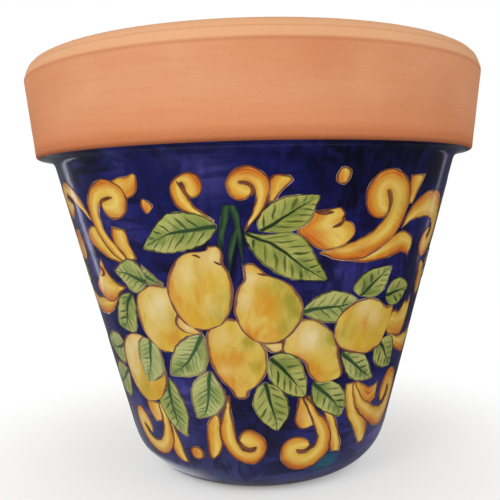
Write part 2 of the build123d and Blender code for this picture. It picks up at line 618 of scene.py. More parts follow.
GLAZE_ROUGHNESS = 0.13
GLAZE_SPECULAR = 0.4
GLAZE_BUMP_METRES = 0.00035
GLAZE_BUMP_STRENGTH = 0.55


def finish_as_glaze(tree, surface, colour, relief=None):
    """Puts a paint colour under the fired glass skin, with the paint's own relief."""
    film = placed(tree, FIRED_GLAZE, {"Base": GLAZE_ROUGHNESS})
    height = film.outputs["Height"]
    if relief is not None:
        height = plus(tree, height, relief)
    surface.inputs["Specular IOR Level"].default_value = GLAZE_SPECULAR
    roughness = film.outputs["Roughness"]
    finish(tree, surface, colour, roughness, height, GLAZE_BUMP_METRES, GLAZE_BUMP_STRENGTH)


# ---------------------------------------------------------------- paints

# Colours of the outlines
OUTLINE_BROWN = srgb(106, 60, 44)
LEMON_OUTLINE = srgb(112, 68, 58)
STEM_OUTLINE = srgb(18, 24, 34)
HALO_CREAM = srgb(206, 192, 172)
# The blue ground: laid twice, once, and thin, then its clouds and broad places, which are partly
# painted shade and painted reflection
COBALT_TWICE = srgb(10, 11, 44)
COBALT_ONCE = srgb(32, 31, 104)
COBALT_CLOUD = srgb(14, 19, 78)
COBALT_DUSK = srgb(17, 12, 46)
# Thin violet paint, also used as painted reflection of the room in the glaze
COBALT_VIOLET_AND_REFLECTION = srgb(79, 75, 148)
# Painted reflection of the floor in the glaze
COBALT_FOOT_REFLECTION = srgb(76, 82, 136)
# Near black: darker paint, and also painted shade under the rim and on the right
COBALT_BLACK_AND_SHADE = srgb(9, 7, 24)
TEAL_STAIN = srgb(16, 88, 108)
# Scrolls and petals
SCROLL_YELLOW = srgb(216, 178, 74)
SCROLL_GOLD = srgb(205, 156, 52)
SCROLL_STREAK = srgb(196, 136, 40)
SCROLL_BLOT = srgb(200, 146, 44)
SCROLL_BRIGHT = srgb(226, 200, 108)
SCROLL_ORANGE = srgb(204, 122, 40)
SCROLL_RUST = srgb(182, 92, 26)
SCROLL_FAR_SIDE = srgb(196, 128, 48)
SCROLL_CREAM = srgb(224, 202, 142)
SCROLL_OLIVE = srgb(172, 150, 56)
# Lemons
LEMON_YELLOW = srgb(210, 184, 88)
LEMON_GOLD = srgb(205, 168, 56)
LEMON_OCHRE = srgb(197, 152, 42)
LEMON_PALE = srgb(216, 196, 112)
LEMON_STREAK = srgb(196, 146, 54)
LEMON_RIM = srgb(204, 138, 66)
LEMON_ORANGE = srgb(202, 126, 34)
LEMON_OLIVE = srgb(154, 144, 50)
LEMON_LIGHT = srgb(222, 204, 158)
LEMON_SPECK = srgb(184, 142, 62)
# Leaves: the pale green one first, then the olive one
LEAF_WASH = (srgb(180, 186, 122), srgb(168, 166, 86))
LEAF_POOL = (srgb(150, 162, 94), srgb(142, 148, 66))
LEAF_SHADE = (srgb(82, 114, 70), srgb(96, 116, 54))
LEAF_LIGHT = (srgb(194, 198, 150), srgb(166, 166, 92))
LEAF_STROKE = (srgb(60, 94, 60), srgb(24, 46, 18))
LEAF_OUTLINE = (srgb(112, 84, 72), srgb(50, 52, 26))
# Stems and brown lines
STEM_DARK = srgb(26, 48, 36)
STEM_GREEN = srgb(46, 80, 50)
STEM_LIGHT = srgb(84, 112, 70)
STEM_IN_SHADE = srgb(20, 24, 62)
LINE_DARK = srgb(92, 50, 34)
LINE_BROWN = srgb(124, 72, 46)

# A greenish stain in the blue, low at the right of the front, in metres
STAIN_PLACE = (0.0386, -0.0757, 0.0215)
STAIN_CORE, STAIN_EDGE = 0.005, 0.012

# Strokes across a leaf, for the pale leaves and the olive ones: their pitch in
# mm and their thickness as a share of it. Then what all of them have.
STROKE_PITCH = (3.4, 5.9)
STROKE_THICKNESS = (0.17, 0.165)
STROKE_STRENGTH = (0.72, 0.96)
STROKE_SLANT = 0.95
STROKE_SWAY = 5.5
RIB_WIDTH = (1.6, 0.2)  # from the stalk to the tip, in mm


def outlined(tree, colour, edge, width, fade, line_colour, halo=0.7):
    """A paint colour with its dark outline, and a thin cream line outside it in places."""
    line = placed(tree, OUTLINE, {"Edge mm": edge, "Width mm": width, "Fade": fade})
    bare = times(tree, line.outputs["Halo"], halo)
    return coated(tree, colour, (line.outputs["Line"], line_colour), (bare, HALO_CREAM))


def brushed(tree):
    """What the paints of strokes share: the piece's place values, and the
    streaks and pools of its brush.
    """
    along, across_mm, tone = attribute(tree, "brush")
    given = {"Along mm": along, "Across mm": across_mm, "Seed": tone}
    marks = placed(tree, BRUSH_MARKS, given)
    return (*attribute(tree, "place"), marks.outputs["Streak"], marks.outputs["Pool"])


def cobalt_material():
    """Blue ground: a strong cobalt laid in broad wet strokes, thinner and more
    violet where the brush ran dry, near black where it was laid twice. Its broad
    dark places also paint shade, its violet places partly and its pale places
    wholly paint reflections in the glaze.
    """
    material, tree, surface = new_material("cobalt_ground")
    place = object_place(tree)
    dark, violet, pale = attribute(tree, "wash")
    slanted = squeezed(tree, place, (1.0, 1.0, 0.4), (0.5, 0.35, 0.0))
    strokes = noise(tree, slanted, 95.0, 5.0, 0.62, 1.1)
    level = squeezed(tree, place, (0.45, 0.45, 1.7), (-0.3, 0.2, 0.0))
    sweeps = noise(tree, level, 80.0, 4.0, 0.6, 0.8)
    which = smooth_step(tree, noise(tree, place, 17.0, 2.0), 0.42, 0.6)
    marks = blended(tree, which, strokes, sweeps)
    cloud = noise(tree, place, 21.0, 3.0, 0.55, 0.4)
    ragged = smooth_step(tree, marks, 0.4, 0.6, 0.3, 1.0)
    off_stain = node(tree, "ShaderNodeVectorMath", {0: place, 1: STAIN_PLACE}, operation="DISTANCE")
    stain = smooth_step(tree, off_stain.outputs["Value"], STAIN_CORE, STAIN_EDGE, 0.9, 0.0)
    ground = coated(
        tree,
        mixed(tree, smooth_step(tree, marks, 0.36, 0.64), COBALT_TWICE, COBALT_ONCE),
        (smooth_step(tree, cloud, 0.5, 0.66, 0.0, 0.8), COBALT_CLOUD),
        (smooth_step(tree, cloud, 0.34, 0.46, 0.6, 0.0), COBALT_DUSK),
        # Thin violet paint, partly painted reflection of the room in the glaze
        (times(tree, violet, ragged), COBALT_VIOLET_AND_REFLECTION),
        # Painted reflection of the floor along the foot
        (times(tree, pale, ragged), COBALT_FOOT_REFLECTION),
        # Darker paint, and partly painted shade under the rim and on the right
        (times(tree, dark, smooth_step(tree, marks, 0.35, 0.6, 1.0, 0.6)), COBALT_BLACK_AND_SHADE),
        (times(tree, stain, ragged), TEAL_STAIN),
    )
    finish_as_glaze(tree, surface, ground, times(tree, marks, 0.5))
    return material


def scroll_material():
    """Scrolls and petals: yellow laid first, an orange stroke down one side,
    a thin pale stroke beside it, fine streaks along, and a brown outline.
    """
    material, tree, surface = new_material("scroll_yellow")
    across, edge, _, streak, pool = brushed(tree)
    warm, cool, pale = attribute(tree, "wash")
    blot = noise(tree, object_place(tree), 150.0, 3.0, 0.55, 0.4)
    bright = between(tree, across, (0.38, 0.55), (0.62, 0.85))
    yellow = coated(
        tree,
        mixed(tree, smooth_step(tree, pool, 0.35, 0.65), SCROLL_YELLOW, SCROLL_GOLD),
        (smooth_step(tree, streak, 0.5, 0.68, 0.0, 0.5), SCROLL_STREAK),
        (smooth_step(tree, blot, 0.52, 0.66, 0.0, 0.45), SCROLL_BLOT),
        (times(tree, bright, smooth_step(tree, streak, 0.35, 0.55, 0.2, 0.75)), SCROLL_BRIGHT),
    )
    wavy = plus(tree, across, times(tree, minus(tree, streak, 0.5), 0.35))
    side = smooth_step(tree, wavy, 0.12, 0.42, 1.0, 0.0)
    side = times(tree, side, smooth_step(tree, pool, 0.3, 0.6, 0.5, 1.0))
    warmer = times(tree, warm, smooth_step(tree, streak, 0.35, 0.6, 0.6, 1.0))
    orange = mixed(tree, smooth_step(tree, streak, 0.4, 0.62), SCROLL_ORANGE, SCROLL_RUST)
    colour = coated(
        tree,
        yellow,
        (plus(tree, side, warmer, clamp=True), orange),
        (smooth_step(tree, across, 0.84, 0.98, 0.0, 0.6), SCROLL_FAR_SIDE),
        (times(tree, pale, 0.8), SCROLL_CREAM),
        (times(tree, cool, 0.8), SCROLL_OLIVE),
    )
    colour = outlined(tree, colour, edge, 1.15, 0.3, OUTLINE_BROWN)
    finish_as_glaze(tree, surface, colour, times(tree, streak, 0.35))
    return material


def lemon_material():
    """Lemons: a watery yellow in soft blots, ochre down one side and olive
    down the other, a bare pale light, faint curved strokes and a brown outline.
    """
    material, tree, surface = new_material("lemon_yellow")
    across, edge, _, streak, _ = brushed(tree)
    warm, cool, pale = attribute(tree, "wash")
    place = object_place(tree)
    tall = squeezed(tree, place, (1.0, 1.0, 0.55))
    blot = noise(tree, tall, 120.0, 3.0, 0.5, 0.5)
    wide = noise(tree, tall, 48.0, 2.0, 0.5, 0.3)
    speck = noise(tree, place, 900.0, 2.0)
    blotted = smooth_step(tree, blot, 0.32, 0.62, 0.45, 1.2)
    ragged = times(tree, blotted, smooth_step(tree, streak, 0.34, 0.62, 0.85, 1.1))
    rim = smooth_step(tree, edge, 1.1, 5.5, 0.6, 0.0)
    left = smooth_step(tree, across, 0.3, 0.6, 1.0, 0.15)
    colour = coated(
        tree,
        mixed(tree, smooth_step(tree, wide, 0.38, 0.62), LEMON_YELLOW, LEMON_GOLD),
        (smooth_step(tree, blot, 0.5, 0.66, 0.0, 0.6), LEMON_OCHRE),
        (smooth_step(tree, blot, 0.3, 0.44, 0.55, 0.0), LEMON_PALE),
        (smooth_step(tree, streak, 0.52, 0.7, 0.0, 0.18), LEMON_STREAK),
        (times(tree, times(tree, rim, left), ragged), LEMON_RIM),
        (times(tree, warm, ragged), LEMON_ORANGE),
        (times(tree, cool, ragged), LEMON_OLIVE),
        (times(tree, pale, smooth_step(tree, blot, 0.36, 0.6, 1.0, 0.6)), LEMON_LIGHT),
        (smooth_step(tree, speck, 0.6, 0.74, 0.0, 0.3), LEMON_SPECK),
    )
    colour = outlined(tree, colour, edge, 1.45, 0.15, LEMON_OUTLINE)
    finish_as_glaze(tree, surface, colour, times(tree, blot, 0.4))
    return material


def leaf_material():
    """Leaves: a green wash, deeper beside the midrib, and slanting side
    strokes. A stroke is a band repeated along the leaf and out of step between
    the halves; its thickness, length and strength are drawn anew for each one.
    Pale leaves have long thin strokes from the rib, olive ones short thick ones.
    """
    material, tree, surface = new_material("leaf_green")
    along, across_mm, tone = attribute(tree, "brush")
    across, edge, share = attribute(tree, "place")
    place = object_place(tree)

    def by_tone(pale, olive):
        """A value for the pale leaves and one for the olive ones."""
        return smooth_step(tree, tone, 0.2, 0.6, pale, olive)

    # Where the point is: its share of the way out, its half, and millimetres from the rib
    from_rib = maths(tree, "ABSOLUTE", minus(tree, across, 0.5))
    reach = times(tree, from_rib, 2.0)
    half = smooth_step(tree, across, 0.49, 0.51)
    sway = times(tree, minus(tree, noise(tree, place, 95.0, 2.0), 0.5), STROKE_SWAY)
    leaf_width = maths(tree, "DIVIDE", across_mm, maths(tree, "MAXIMUM", across, 0.02))
    rib_mm = times(tree, from_rib, leaf_width)

    # Which stroke it lies on, and what was drawn for that one
    step = plus(tree, plus(tree, along, sway), times(tree, rib_mm, -STROKE_SLANT))
    step = maths(tree, "DIVIDE", step, by_tone(*STROKE_PITCH))
    step = plus(tree, step, times(tree, half, 0.5))
    cell = vector(tree, maths(tree, "FLOOR", step), half, tone)
    drawn = node(tree, "ShaderNodeTexWhiteNoise", {"Vector": cell}, noise_dimensions="3D")
    drawn = node(tree, "ShaderNodeSeparateXYZ", {0: drawn.outputs["Color"]})
    thickness, length, strength = drawn.outputs

    # The wash
    hatching = vector(tree, times(tree, step, 2.6), times(tree, reach, 0.9), tone)
    hatch = noise(tree, hatching, 1.0, 3.0, 0.6)
    pool = noise(tree, place, 75.0, 2.0, 0.5)
    wet = smooth_step(tree, pool, 0.38, 0.62)
    beside = smooth_step(tree, reach, 0.0, 0.75, 1.0, 0.0)
    beside = times(tree, beside, smooth_step(tree, pool, 0.3, 0.62, 0.25, 1.0))
    deeper = mixed(tree, tone, *LEAF_SHADE)
    fresh, olive = (mixed(tree, wet, dry, pooled) for dry, pooled in zip(LEAF_WASH, LEAF_POOL))
    wash = coated(
        tree,
        mixed(tree, tone, fresh, olive),
        (times(tree, beside, smooth_step(tree, hatch, 0.36, 0.6, 0.25, 0.8)), deeper),
        (smooth_step(tree, hatch, 0.52, 0.66, 0.0, 0.28), deeper),
        (smooth_step(tree, hatch, 0.3, 0.4, 0.4, 0.0), mixed(tree, tone, *LEAF_LIGHT)),
    )

    # The strokes and the rib
    spindle = between(tree, plus(tree, reach, times(tree, length, 0.22)), (0.22, 0.5), (0.62, 1.08))
    fan = smooth_step(tree, plus(tree, reach, times(tree, length, 0.25)), 0.4, 1.05, 1.0, 0.0)
    taper = blended(tree, smooth_step(tree, tone, 0.3, 0.7), fan, spindle)
    thick = times(tree, by_tone(*STROKE_THICKNESS), plus(tree, 0.45, times(tree, thickness, 0.95)))
    phase = maths(tree, "ABSOLUTE", minus(tree, maths(tree, "FRACT", step), 0.5))
    inside = smooth_step(tree, minus(tree, phase, times(tree, thick, taper)), -0.05, 0.05, 1.0, 0.0)
    strokes = times(tree, inside, smooth_step(tree, taper, 0.03, 0.25))
    strokes = times(tree, strokes, between(tree, share, (0.03, 0.12), (0.84, 0.95)))
    strokes = times(tree, strokes, plus(tree, 0.45, times(tree, strength, 0.55)))
    strokes = times(tree, strokes, smooth_step(tree, tone, 0.1, 0.6, *STROKE_STRENGTH))
    rib_width = smooth_step(tree, share, 0.05, 0.95, *RIB_WIDTH)
    off_rib = maths(tree, "ABSOLUTE", plus(tree, rib_mm, times(tree, sway, 0.12)))
    full, gone = times(tree, rib_width, 0.45), times(tree, rib_width, 1.15)
    lines = maths(tree, "MAXIMUM", strokes, smooth_step(tree, off_rib, full, gone, 1.0, 0.0))

    colour = mixed(tree, lines, wash, mixed(tree, tone, *LEAF_STROKE))
    dark_edge = mixed(tree, by_tone(0.0, 1.0), *LEAF_OUTLINE)
    colour = outlined(tree, colour, edge, by_tone(1.3, 0.75), 0.4, dark_edge, 0.9)
    finish_as_glaze(tree, surface, colour, times(tree, lines, 0.4))
    return material


def stem_material():
    """Stems: dark green strokes with a lighter streak down the middle, darker
    towards the fruit.
    """
    material, tree, surface = new_material("stem_green")
    across, edge, share, streak, pool = brushed(tree)
    light = between(tree, across, (0.2, 0.45), (0.55, 0.8))
    body = coated(
        tree,
        mixed(tree, smooth_step(tree, streak, 0.4, 0.62), STEM_DARK, STEM_GREEN),
        (times(tree, light, smooth_step(tree, pool, 0.4, 0.6, 0.0, 0.5)), STEM_LIGHT),
        (smooth_step(tree, share, 0.45, 1.0, 0.0, 0.85), STEM_IN_SHADE),
    )
    finish_as_glaze(tree, surface, outlined(tree, body, edge, 0.35, 0.6, STEM_OUTLINE, 0.2))
    return material


def line_material():
    """Thin brown lines drawn last, darker where the brush was full."""
    material, tree, surface = new_material("line_brown")
    pool = noise(tree, object_place(tree), 160.0, 2.0)
    brown = mixed(tree, smooth_step(tree, pool, 0.35, 0.65), LINE_DARK, LINE_BROWN)
    finish_as_glaze(tree, surface, brown)
    return material


# ---------------------------------------------------------------- bare clay

CLAY_DEEP = srgb(205, 135, 93)
CLAY_WARM = srgb(214, 148, 107)
CLAY_PALE_PATCH = srgb(220, 160, 122)
CLAY_DARK_PATCH = srgb(200, 126, 82)
CLAY_SMEAR = srgb(200, 126, 84)
CLAY_RING = srgb(194, 120, 78)
CLAY_LOW = srgb(204, 124, 78)
CLAY_DARK_STRIP = srgb(180, 100, 56)
# Painted shade on the band's lower edge, which faces down
CLAY_EDGE_SHADE = srgb(150, 82, 44)
# Painted light: the lip lighter, as lit from above
CLAY_LIP_PAINTED_LIGHT = srgb(222, 172, 130)
CLAY_LINE = srgb(186, 116, 76)
CLAY_DARK_SPECK = srgb(176, 104, 66)
CLAY_PALE_SPECK = srgb(228, 184, 148)
CLAY_PIT = srgb(150, 90, 60)
CLAY_SPECULAR = 0.3
CLAY_BUMP_METRES = 0.0005
CLAY_BUMP_STRENGTH = 0.5
# Radius from which the clay counts as the band's outer face, in mm
BAND_FACE = (136.0, 141.0)
# Heights on the band, in mm, over which its lower part, the darker strip above
# its lower edge, and that edge itself, painted in shade as it faces down, fade out;
# and where the lip begins
LOW_PART = (210.0, 236.0)
STRIP_ABOVE_EDGE = (211.5, 218.5)
SHADED_LOW_EDGE = (209.6, 212.0)
# The lip from here up is painted lighter, as lit from above
LIP_BEGINS = (256.0, 258.5)
# Fine lines left in the lip by the turning tool: height, half width and strength
LIP_LINES = ((256.3, 1.5, 0.45), (262.6, 0.8, 0.3))


def terracotta_material():
    """Bare fired clay: soft turning lines as noise along the outline's run
    only, slow kiln mottling, fine grog specks and few pits. Warmer towards the
    band's lower edge, with painted shade on that edge itself, and palest on the
    lip as painted light from above, with a fine line where they meet.
    """
    material, tree, surface = new_material("terracotta")
    run, radius, height = attribute(tree, "turning")
    place = object_place(tree)
    lines = noise(tree, vector(tree, times(tree, run, 0.55), 0.0, 0.0), 1.0, 5.0, 0.65)
    smear = noise(tree, squeezed(tree, place, (1.0, 1.0, 14.0)), 26.0, 4.0, 0.6)
    mottle = noise(tree, place, 9.0, 4.0, 0.55, 0.5)
    patch = noise(tree, place, 24.0, 3.0, 0.5, 0.3)
    specks = noise(tree, place, 1500.0, 2.0)
    rare = smooth_step(tree, noise(tree, place, 45.0, 1.0), 0.56, 0.64)
    pits = times(tree, smooth_step(tree, scattered(tree, place, 230.0), 0.04, 0.12, 1.0, 0.0), rare)
    outside = smooth_step(tree, radius, *BAND_FACE)

    def on_band(reach, strength):
        """A strength that fades out up the band's face."""
        return times(tree, smooth_step(tree, height, *reach, strength, 0.0), outside)

    # Where the lip is painted lighter, as lit from above
    lip = times(tree, smooth_step(tree, height, *LIP_BEGINS), outside)
    clay = coated(
        tree,
        mixed(tree, smooth_step(tree, mottle, 0.34, 0.66), CLAY_DEEP, CLAY_WARM),
        (smooth_step(tree, patch, 0.52, 0.72, 0.0, 0.35), CLAY_PALE_PATCH),
        (smooth_step(tree, patch, 0.3, 0.44, 0.35, 0.0), CLAY_DARK_PATCH),
        (smooth_step(tree, smear, 0.52, 0.7, 0.0, 0.22), CLAY_SMEAR),
        (smooth_step(tree, lines, 0.54, 0.7, 0.0, 0.2), CLAY_RING),
        (on_band(LOW_PART, 0.6), CLAY_LOW),
        (on_band(STRIP_ABOVE_EDGE, 0.6), CLAY_DARK_STRIP),
        # Painted shade on the band's downward-facing lower edge
        (on_band(SHADED_LOW_EDGE, 0.8), CLAY_EDGE_SHADE),
        (times(tree, lip, 0.75), CLAY_LIP_PAINTED_LIGHT),
    )
    for level, half_width, strength in LIP_LINES:
        away = maths(tree, "ABSOLUTE", minus(tree, height, level))
        mark = times(tree, smooth_step(tree, away, 0.0, half_width, strength, 0.0), outside)
        clay = mixed(tree, mark, clay, CLAY_LINE)
    clay = coated(
        tree,
        clay,
        (smooth_step(tree, specks, 0.62, 0.74, 0.0, 0.35), CLAY_DARK_SPECK),
        (smooth_step(tree, specks, 0.28, 0.36, 0.35, 0.0), CLAY_PALE_SPECK),
        (times(tree, pits, 0.35), CLAY_PIT),
    )
    grain = noise(tree, place, 2300.0, 3.0, 0.6)
    rise = plus(tree, times(tree, lines, 0.5), times(tree, smear, 0.3))
    rise = plus(tree, rise, minus(tree, times(tree, grain, 0.2), times(tree, pits, 0.4)))
    roughness = smooth_step(tree, smear, 0.3, 0.7, 0.72, 0.86)
    surface.inputs["Specular IOR Level"].default_value = CLAY_SPECULAR
    finish(tree, surface, clay, roughness, rise, CLAY_BUMP_METRES, CLAY_BUMP_STRENGTH)
    return material


TERRACOTTA = terracotta_material()
COBALT = cobalt_material()
SCROLL = scroll_material()
LEMON = lemon_material()
LEAF = leaf_material()
STEM = stem_material()
LINE = line_material()

# ---------------------------------------------------------------- clay pot


def cavity_radius(z):
    """Radius of the cavity at a height below the band, parallel to the outer wall."""
    return FOOT_RADIUS + z * math.tan(TAPER) - WALL_THICKNESS / math.cos(TAPER)


# Corners of the clay's half section, as radius and height, and their roundings
CLAY_OUTLINE = (
    ((DRAIN_RADIUS, 0.0), DRAIN_EDGE_ROUNDING),
    ((FOOT_RADIUS, 0.0), FOOT_ROUNDING),
    ((WALL_TOP_RADIUS, LEDGE_Z), LEDGE_COVE),
    ((BAND_LOW_RADIUS, LEDGE_Z), BAND_EDGE_ROUNDING),
    ((RIM_RADIUS, FACE_TOP_Z), LIP_BREAK_ROUNDING),
    ((LIP_OUTER_RADIUS, POT_HEIGHT), LIP_OUTER_ROUNDING),
    ((MOUTH_RADIUS, POT_HEIGHT), LIP_INNER_ROUNDING),
    ((cavity_radius(LEDGE_Z), LEDGE_Z), 0),
    ((cavity_radius(FLOOR_THICKNESS), FLOOR_THICKNESS), CAVITY_ROUNDING),
    ((DRAIN_RADIUS, FLOOR_THICKNESS), DRAIN_EDGE_ROUNDING),
)
# Spacing of the points round each outline, in mm, and of the turn's segments
CLAY_SPACING, CLAY_SEGMENTS = 4.2, 432
GLAZE_SPACING, GLAZE_SEGMENTS = 2.0, 480


def turning_ripple(run, phi):
    """Inward only: fine ridges left by the turning tool, slow ones by the hand,
    and a slight two- and three-cornered settling from the kiln.
    """
    ridges = 0.025 * (1 + np.sin(run * 1.9 + 0.4 * np.sin(phi)))
    ridges = ridges + 0.03 * (1 + np.sin(run * 0.43 + 1.3))
    settling = 0.05 * (1 + np.cos(2 * phi + 0.6)) + 0.03 * (1 + np.cos(3 * phi + 2.0))
    return -(ridges + settling)


outline, run = rounded_outline(*zip(*CLAY_OUTLINE), CLAY_SPACING)
clay_pot, *_ = turned_piece("clay_pot", outline, run, CLAY_SEGMENTS, TERRACOTTA, turning_ripple)
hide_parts("clay_body")

# ---------------------------------------------------------------- glaze coat


ROUNDED_STEPS = 2.0  # steps over which the glaze's thin ends are rounded
GLAZE_SINK = 0.1
INNER_STEP = 3


def glaze_outline():
    """Closed outline of the glaze: out along the clay's surface plus the glaze's
    thickness, and back just inside the clay in longer steps, with both thin
    ends rounded.
    """
    beyond, below = RIM_RADIUS * 1.2, -50.0
    wall = [(FOOT_RADIUS, 0.0), (WALL_TOP_RADIUS, LEDGE_Z)]
    corners = [*wall, (beyond, LEDGE_Z), (beyond, below), (0.0, below), (0.0, 0.0)]
    line, _ = rounded_outline(corners, [FOOT_ROUNDING, LEDGE_COVE, 0, 0, 0, 0], GLAZE_SPACING)
    cut = np.argmax(line[:, 0] > GLAZE_TOP_RADIUS)
    line = line[:cut]
    low = np.stack([line[:, 0] - FOOT_ARC_RADIUS, line[:, 1] - FOOT_ROUNDING], -1)
    below = np.arctan2(-low[:, 1], low[:, 0])
    line = line[(below < GLAZE_STOP) | (line[:, 1] > FOOT_ROUNDING)]
    line = np.vstack([line, [GLAZE_TOP_RADIUS, LEDGE_Z]])
    ahead = np.gradient(line, axis=0)
    ahead /= np.linalg.norm(ahead, axis=1)[:, None]
    out = np.stack([ahead[:, 1], -ahead[:, 0]], -1)
    share = np.linspace(0, 1, len(line))
    from_end = np.minimum(share, 1 - share) * len(line)
    depth = GLAZE_THICKNESS * np.sqrt(np.clip(from_end / ROUNDED_STEPS, 0, 1))
    outer = line + out * depth[:, None]
    inner = (line - out * GLAZE_SINK)[1:-1:INNER_STEP][::-1]
    loop = np.vstack([outer, inner])
    return loop, run_along(loop)


# Broad places in the blue ground, as turn, slant, reach in mm and strength
# Dark: darker paint, and painted shade under the rim and over the right side
DARK_AND_SHADE_DABS = (
    (22, 190, 17, 0.95), (17, 203, 12, 0.8), (-45, 206, 16, 0.75), (-5, 155, 12, 0.5),
    (50, 205, 26, 0.8), (55, 150, 17, 0.55), (3, 54, 14, 0.85), (24, 122, 14, 0.4),
    (-27, 200, 14, 0.4), (-58, 210, 16, 0.7), (50, 128, 12, 0.7), (-33, 88, 8, 0.2),
    (40, 212, 30, 0.8), (-75, 190, 22, 0.4), (72, 110, 24, 0.5), (12, 136, 12, 0.35),
    (33, 165, 9, 0.3), (5, 38, 12, 0.75), (12, 58, 10, 0.6), (-6, 66, 8, 0.5), (30, 205, 20, 0.7),
    (38, 26, 9, 0.5),
)
# Violet: thin paint, and painted reflections of the room, such as the streak under the ledge and
# those at the sides
VIOLET_AND_REFLECTION_DABS = (
    (-11, 200, 13, 0.45), (-42, 177, 7, 0.4), (-28, 62, 13, 0.55), (49, 62, 12, 0.35),
    (-8, 40, 9, 0.2), (-60, 215, 14, 0.25), (22, 138, 16, 0.3), (-36, 168, 10, 0.25),
    (54, 30, 22, 0.45), (-48, 52, 10, 0.55), (-26, 72, 10, 0.5), (-60, 55, 16, 0.5),
    (31, 140, 9, 0.2), (62, 170, 14, 0.4), (64, 20, 22, 0.5), (-62, 165, 12, 0.35),
    (24, 44, 8, 0.35), (-12, 60, 6, 0.25), (-50, 208, 6, 0.4), (-20, 209, 6, 0.4),
    (-34, 209, 6, 0.4), (60, 26, 8, 0.5),
)
# Pale: painted reflection of the floor on the foot's rounding
FOOT_REFLECTION_DABS = (
    (-20, 14, 20, 0.35), (12, 8, 24, 0.25), (-48, 12, 26, 0.45), (38, 14, 20, 0.25),
    (-5, 22, 14, 0.15), (66, 6, 26, 0.3), (-80, 12, 26, 0.5), (88, 10, 26, 0.4), (-30, 40, 10, 0.3),
    (0, -4, 30, 0.2), (-60, -6, 30, 0.3), (50, -8, 30, 0.2),
)


# Below this height a place lies further down the slant, as the foot rounds off
ROUND_FOOT_HEIGHT = 20.9
ROUND_FOOT_REACH = 20.0


def ground_washes_and_light(phi, r, z):
    """Three washes on the blue ground, each the sum of soft round dabs: darker paint
    with painted shade, thin violet paint with painted reflection, and painted
    reflection of the floor at the foot. The back of the pot has the front's dabs mirrored.
    """
    turn = np.degrees((phi + math.pi) % (2 * math.pi) - math.pi)
    turn = np.where(np.abs(turn) > 90, np.sign(turn) * 180 - turn, turn)[None, :]
    round_foot = (1 - np.clip(z / ROUND_FOOT_HEIGHT, 0, 1)) ** 2 * ROUND_FOOT_REACH
    slant = z / math.cos(TAPER) - np.where(z > ROUND_FOOT_HEIGHT, 0, round_foot)
    sets = []
    for dabs in (DARK_AND_SHADE_DABS, VIOLET_AND_REFLECTION_DABS, FOOT_REFLECTION_DABS):
        total = np.zeros(r.shape)
        for at, up, reach, strength in dabs:
            around = np.radians(turn - at) * r
            total += strength * np.exp(-((around / reach) ** 2 + ((slant - up) / reach) ** 2))
        sets.append(np.clip(total, 0, 1))
    return np.stack(sets, -1).reshape(-1, 3)


def glaze_ripple(run, phi):
    """Slight unevenness in how thick the glaze lies, under a tenth of a millimetre."""
    slow = 0.03 * (1 + np.sin(run * 0.21 + 2 * np.sin(phi)))
    return -slow - 0.02 * (1 + np.sin(5 * phi + run * 0.05))


outline, run = glaze_outline()
glaze, phi, r, z = turned_piece(
    "glaze_ground", outline, run, GLAZE_SEGMENTS, COBALT, glaze_ripple
)
layer = glaze.data.attributes.new("wash", "FLOAT_VECTOR", "POINT")
layer.data.foreach_set("vector", ground_washes_and_light(phi, r, z).astype(np.float32).ravel())
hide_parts("glaze_coat")

# ---------------------------------------------------------------- the painter's drawing
#
# Each shape is given by the points of its two edges, from its thin or lower
# end on, as turn in degrees and slant in millimetres. Scrolls have the outside
# of the curl first. Dabs of colour are kind, turn, slant, reach and strength.

WARM, COOL, PALE = 0, 1, 2

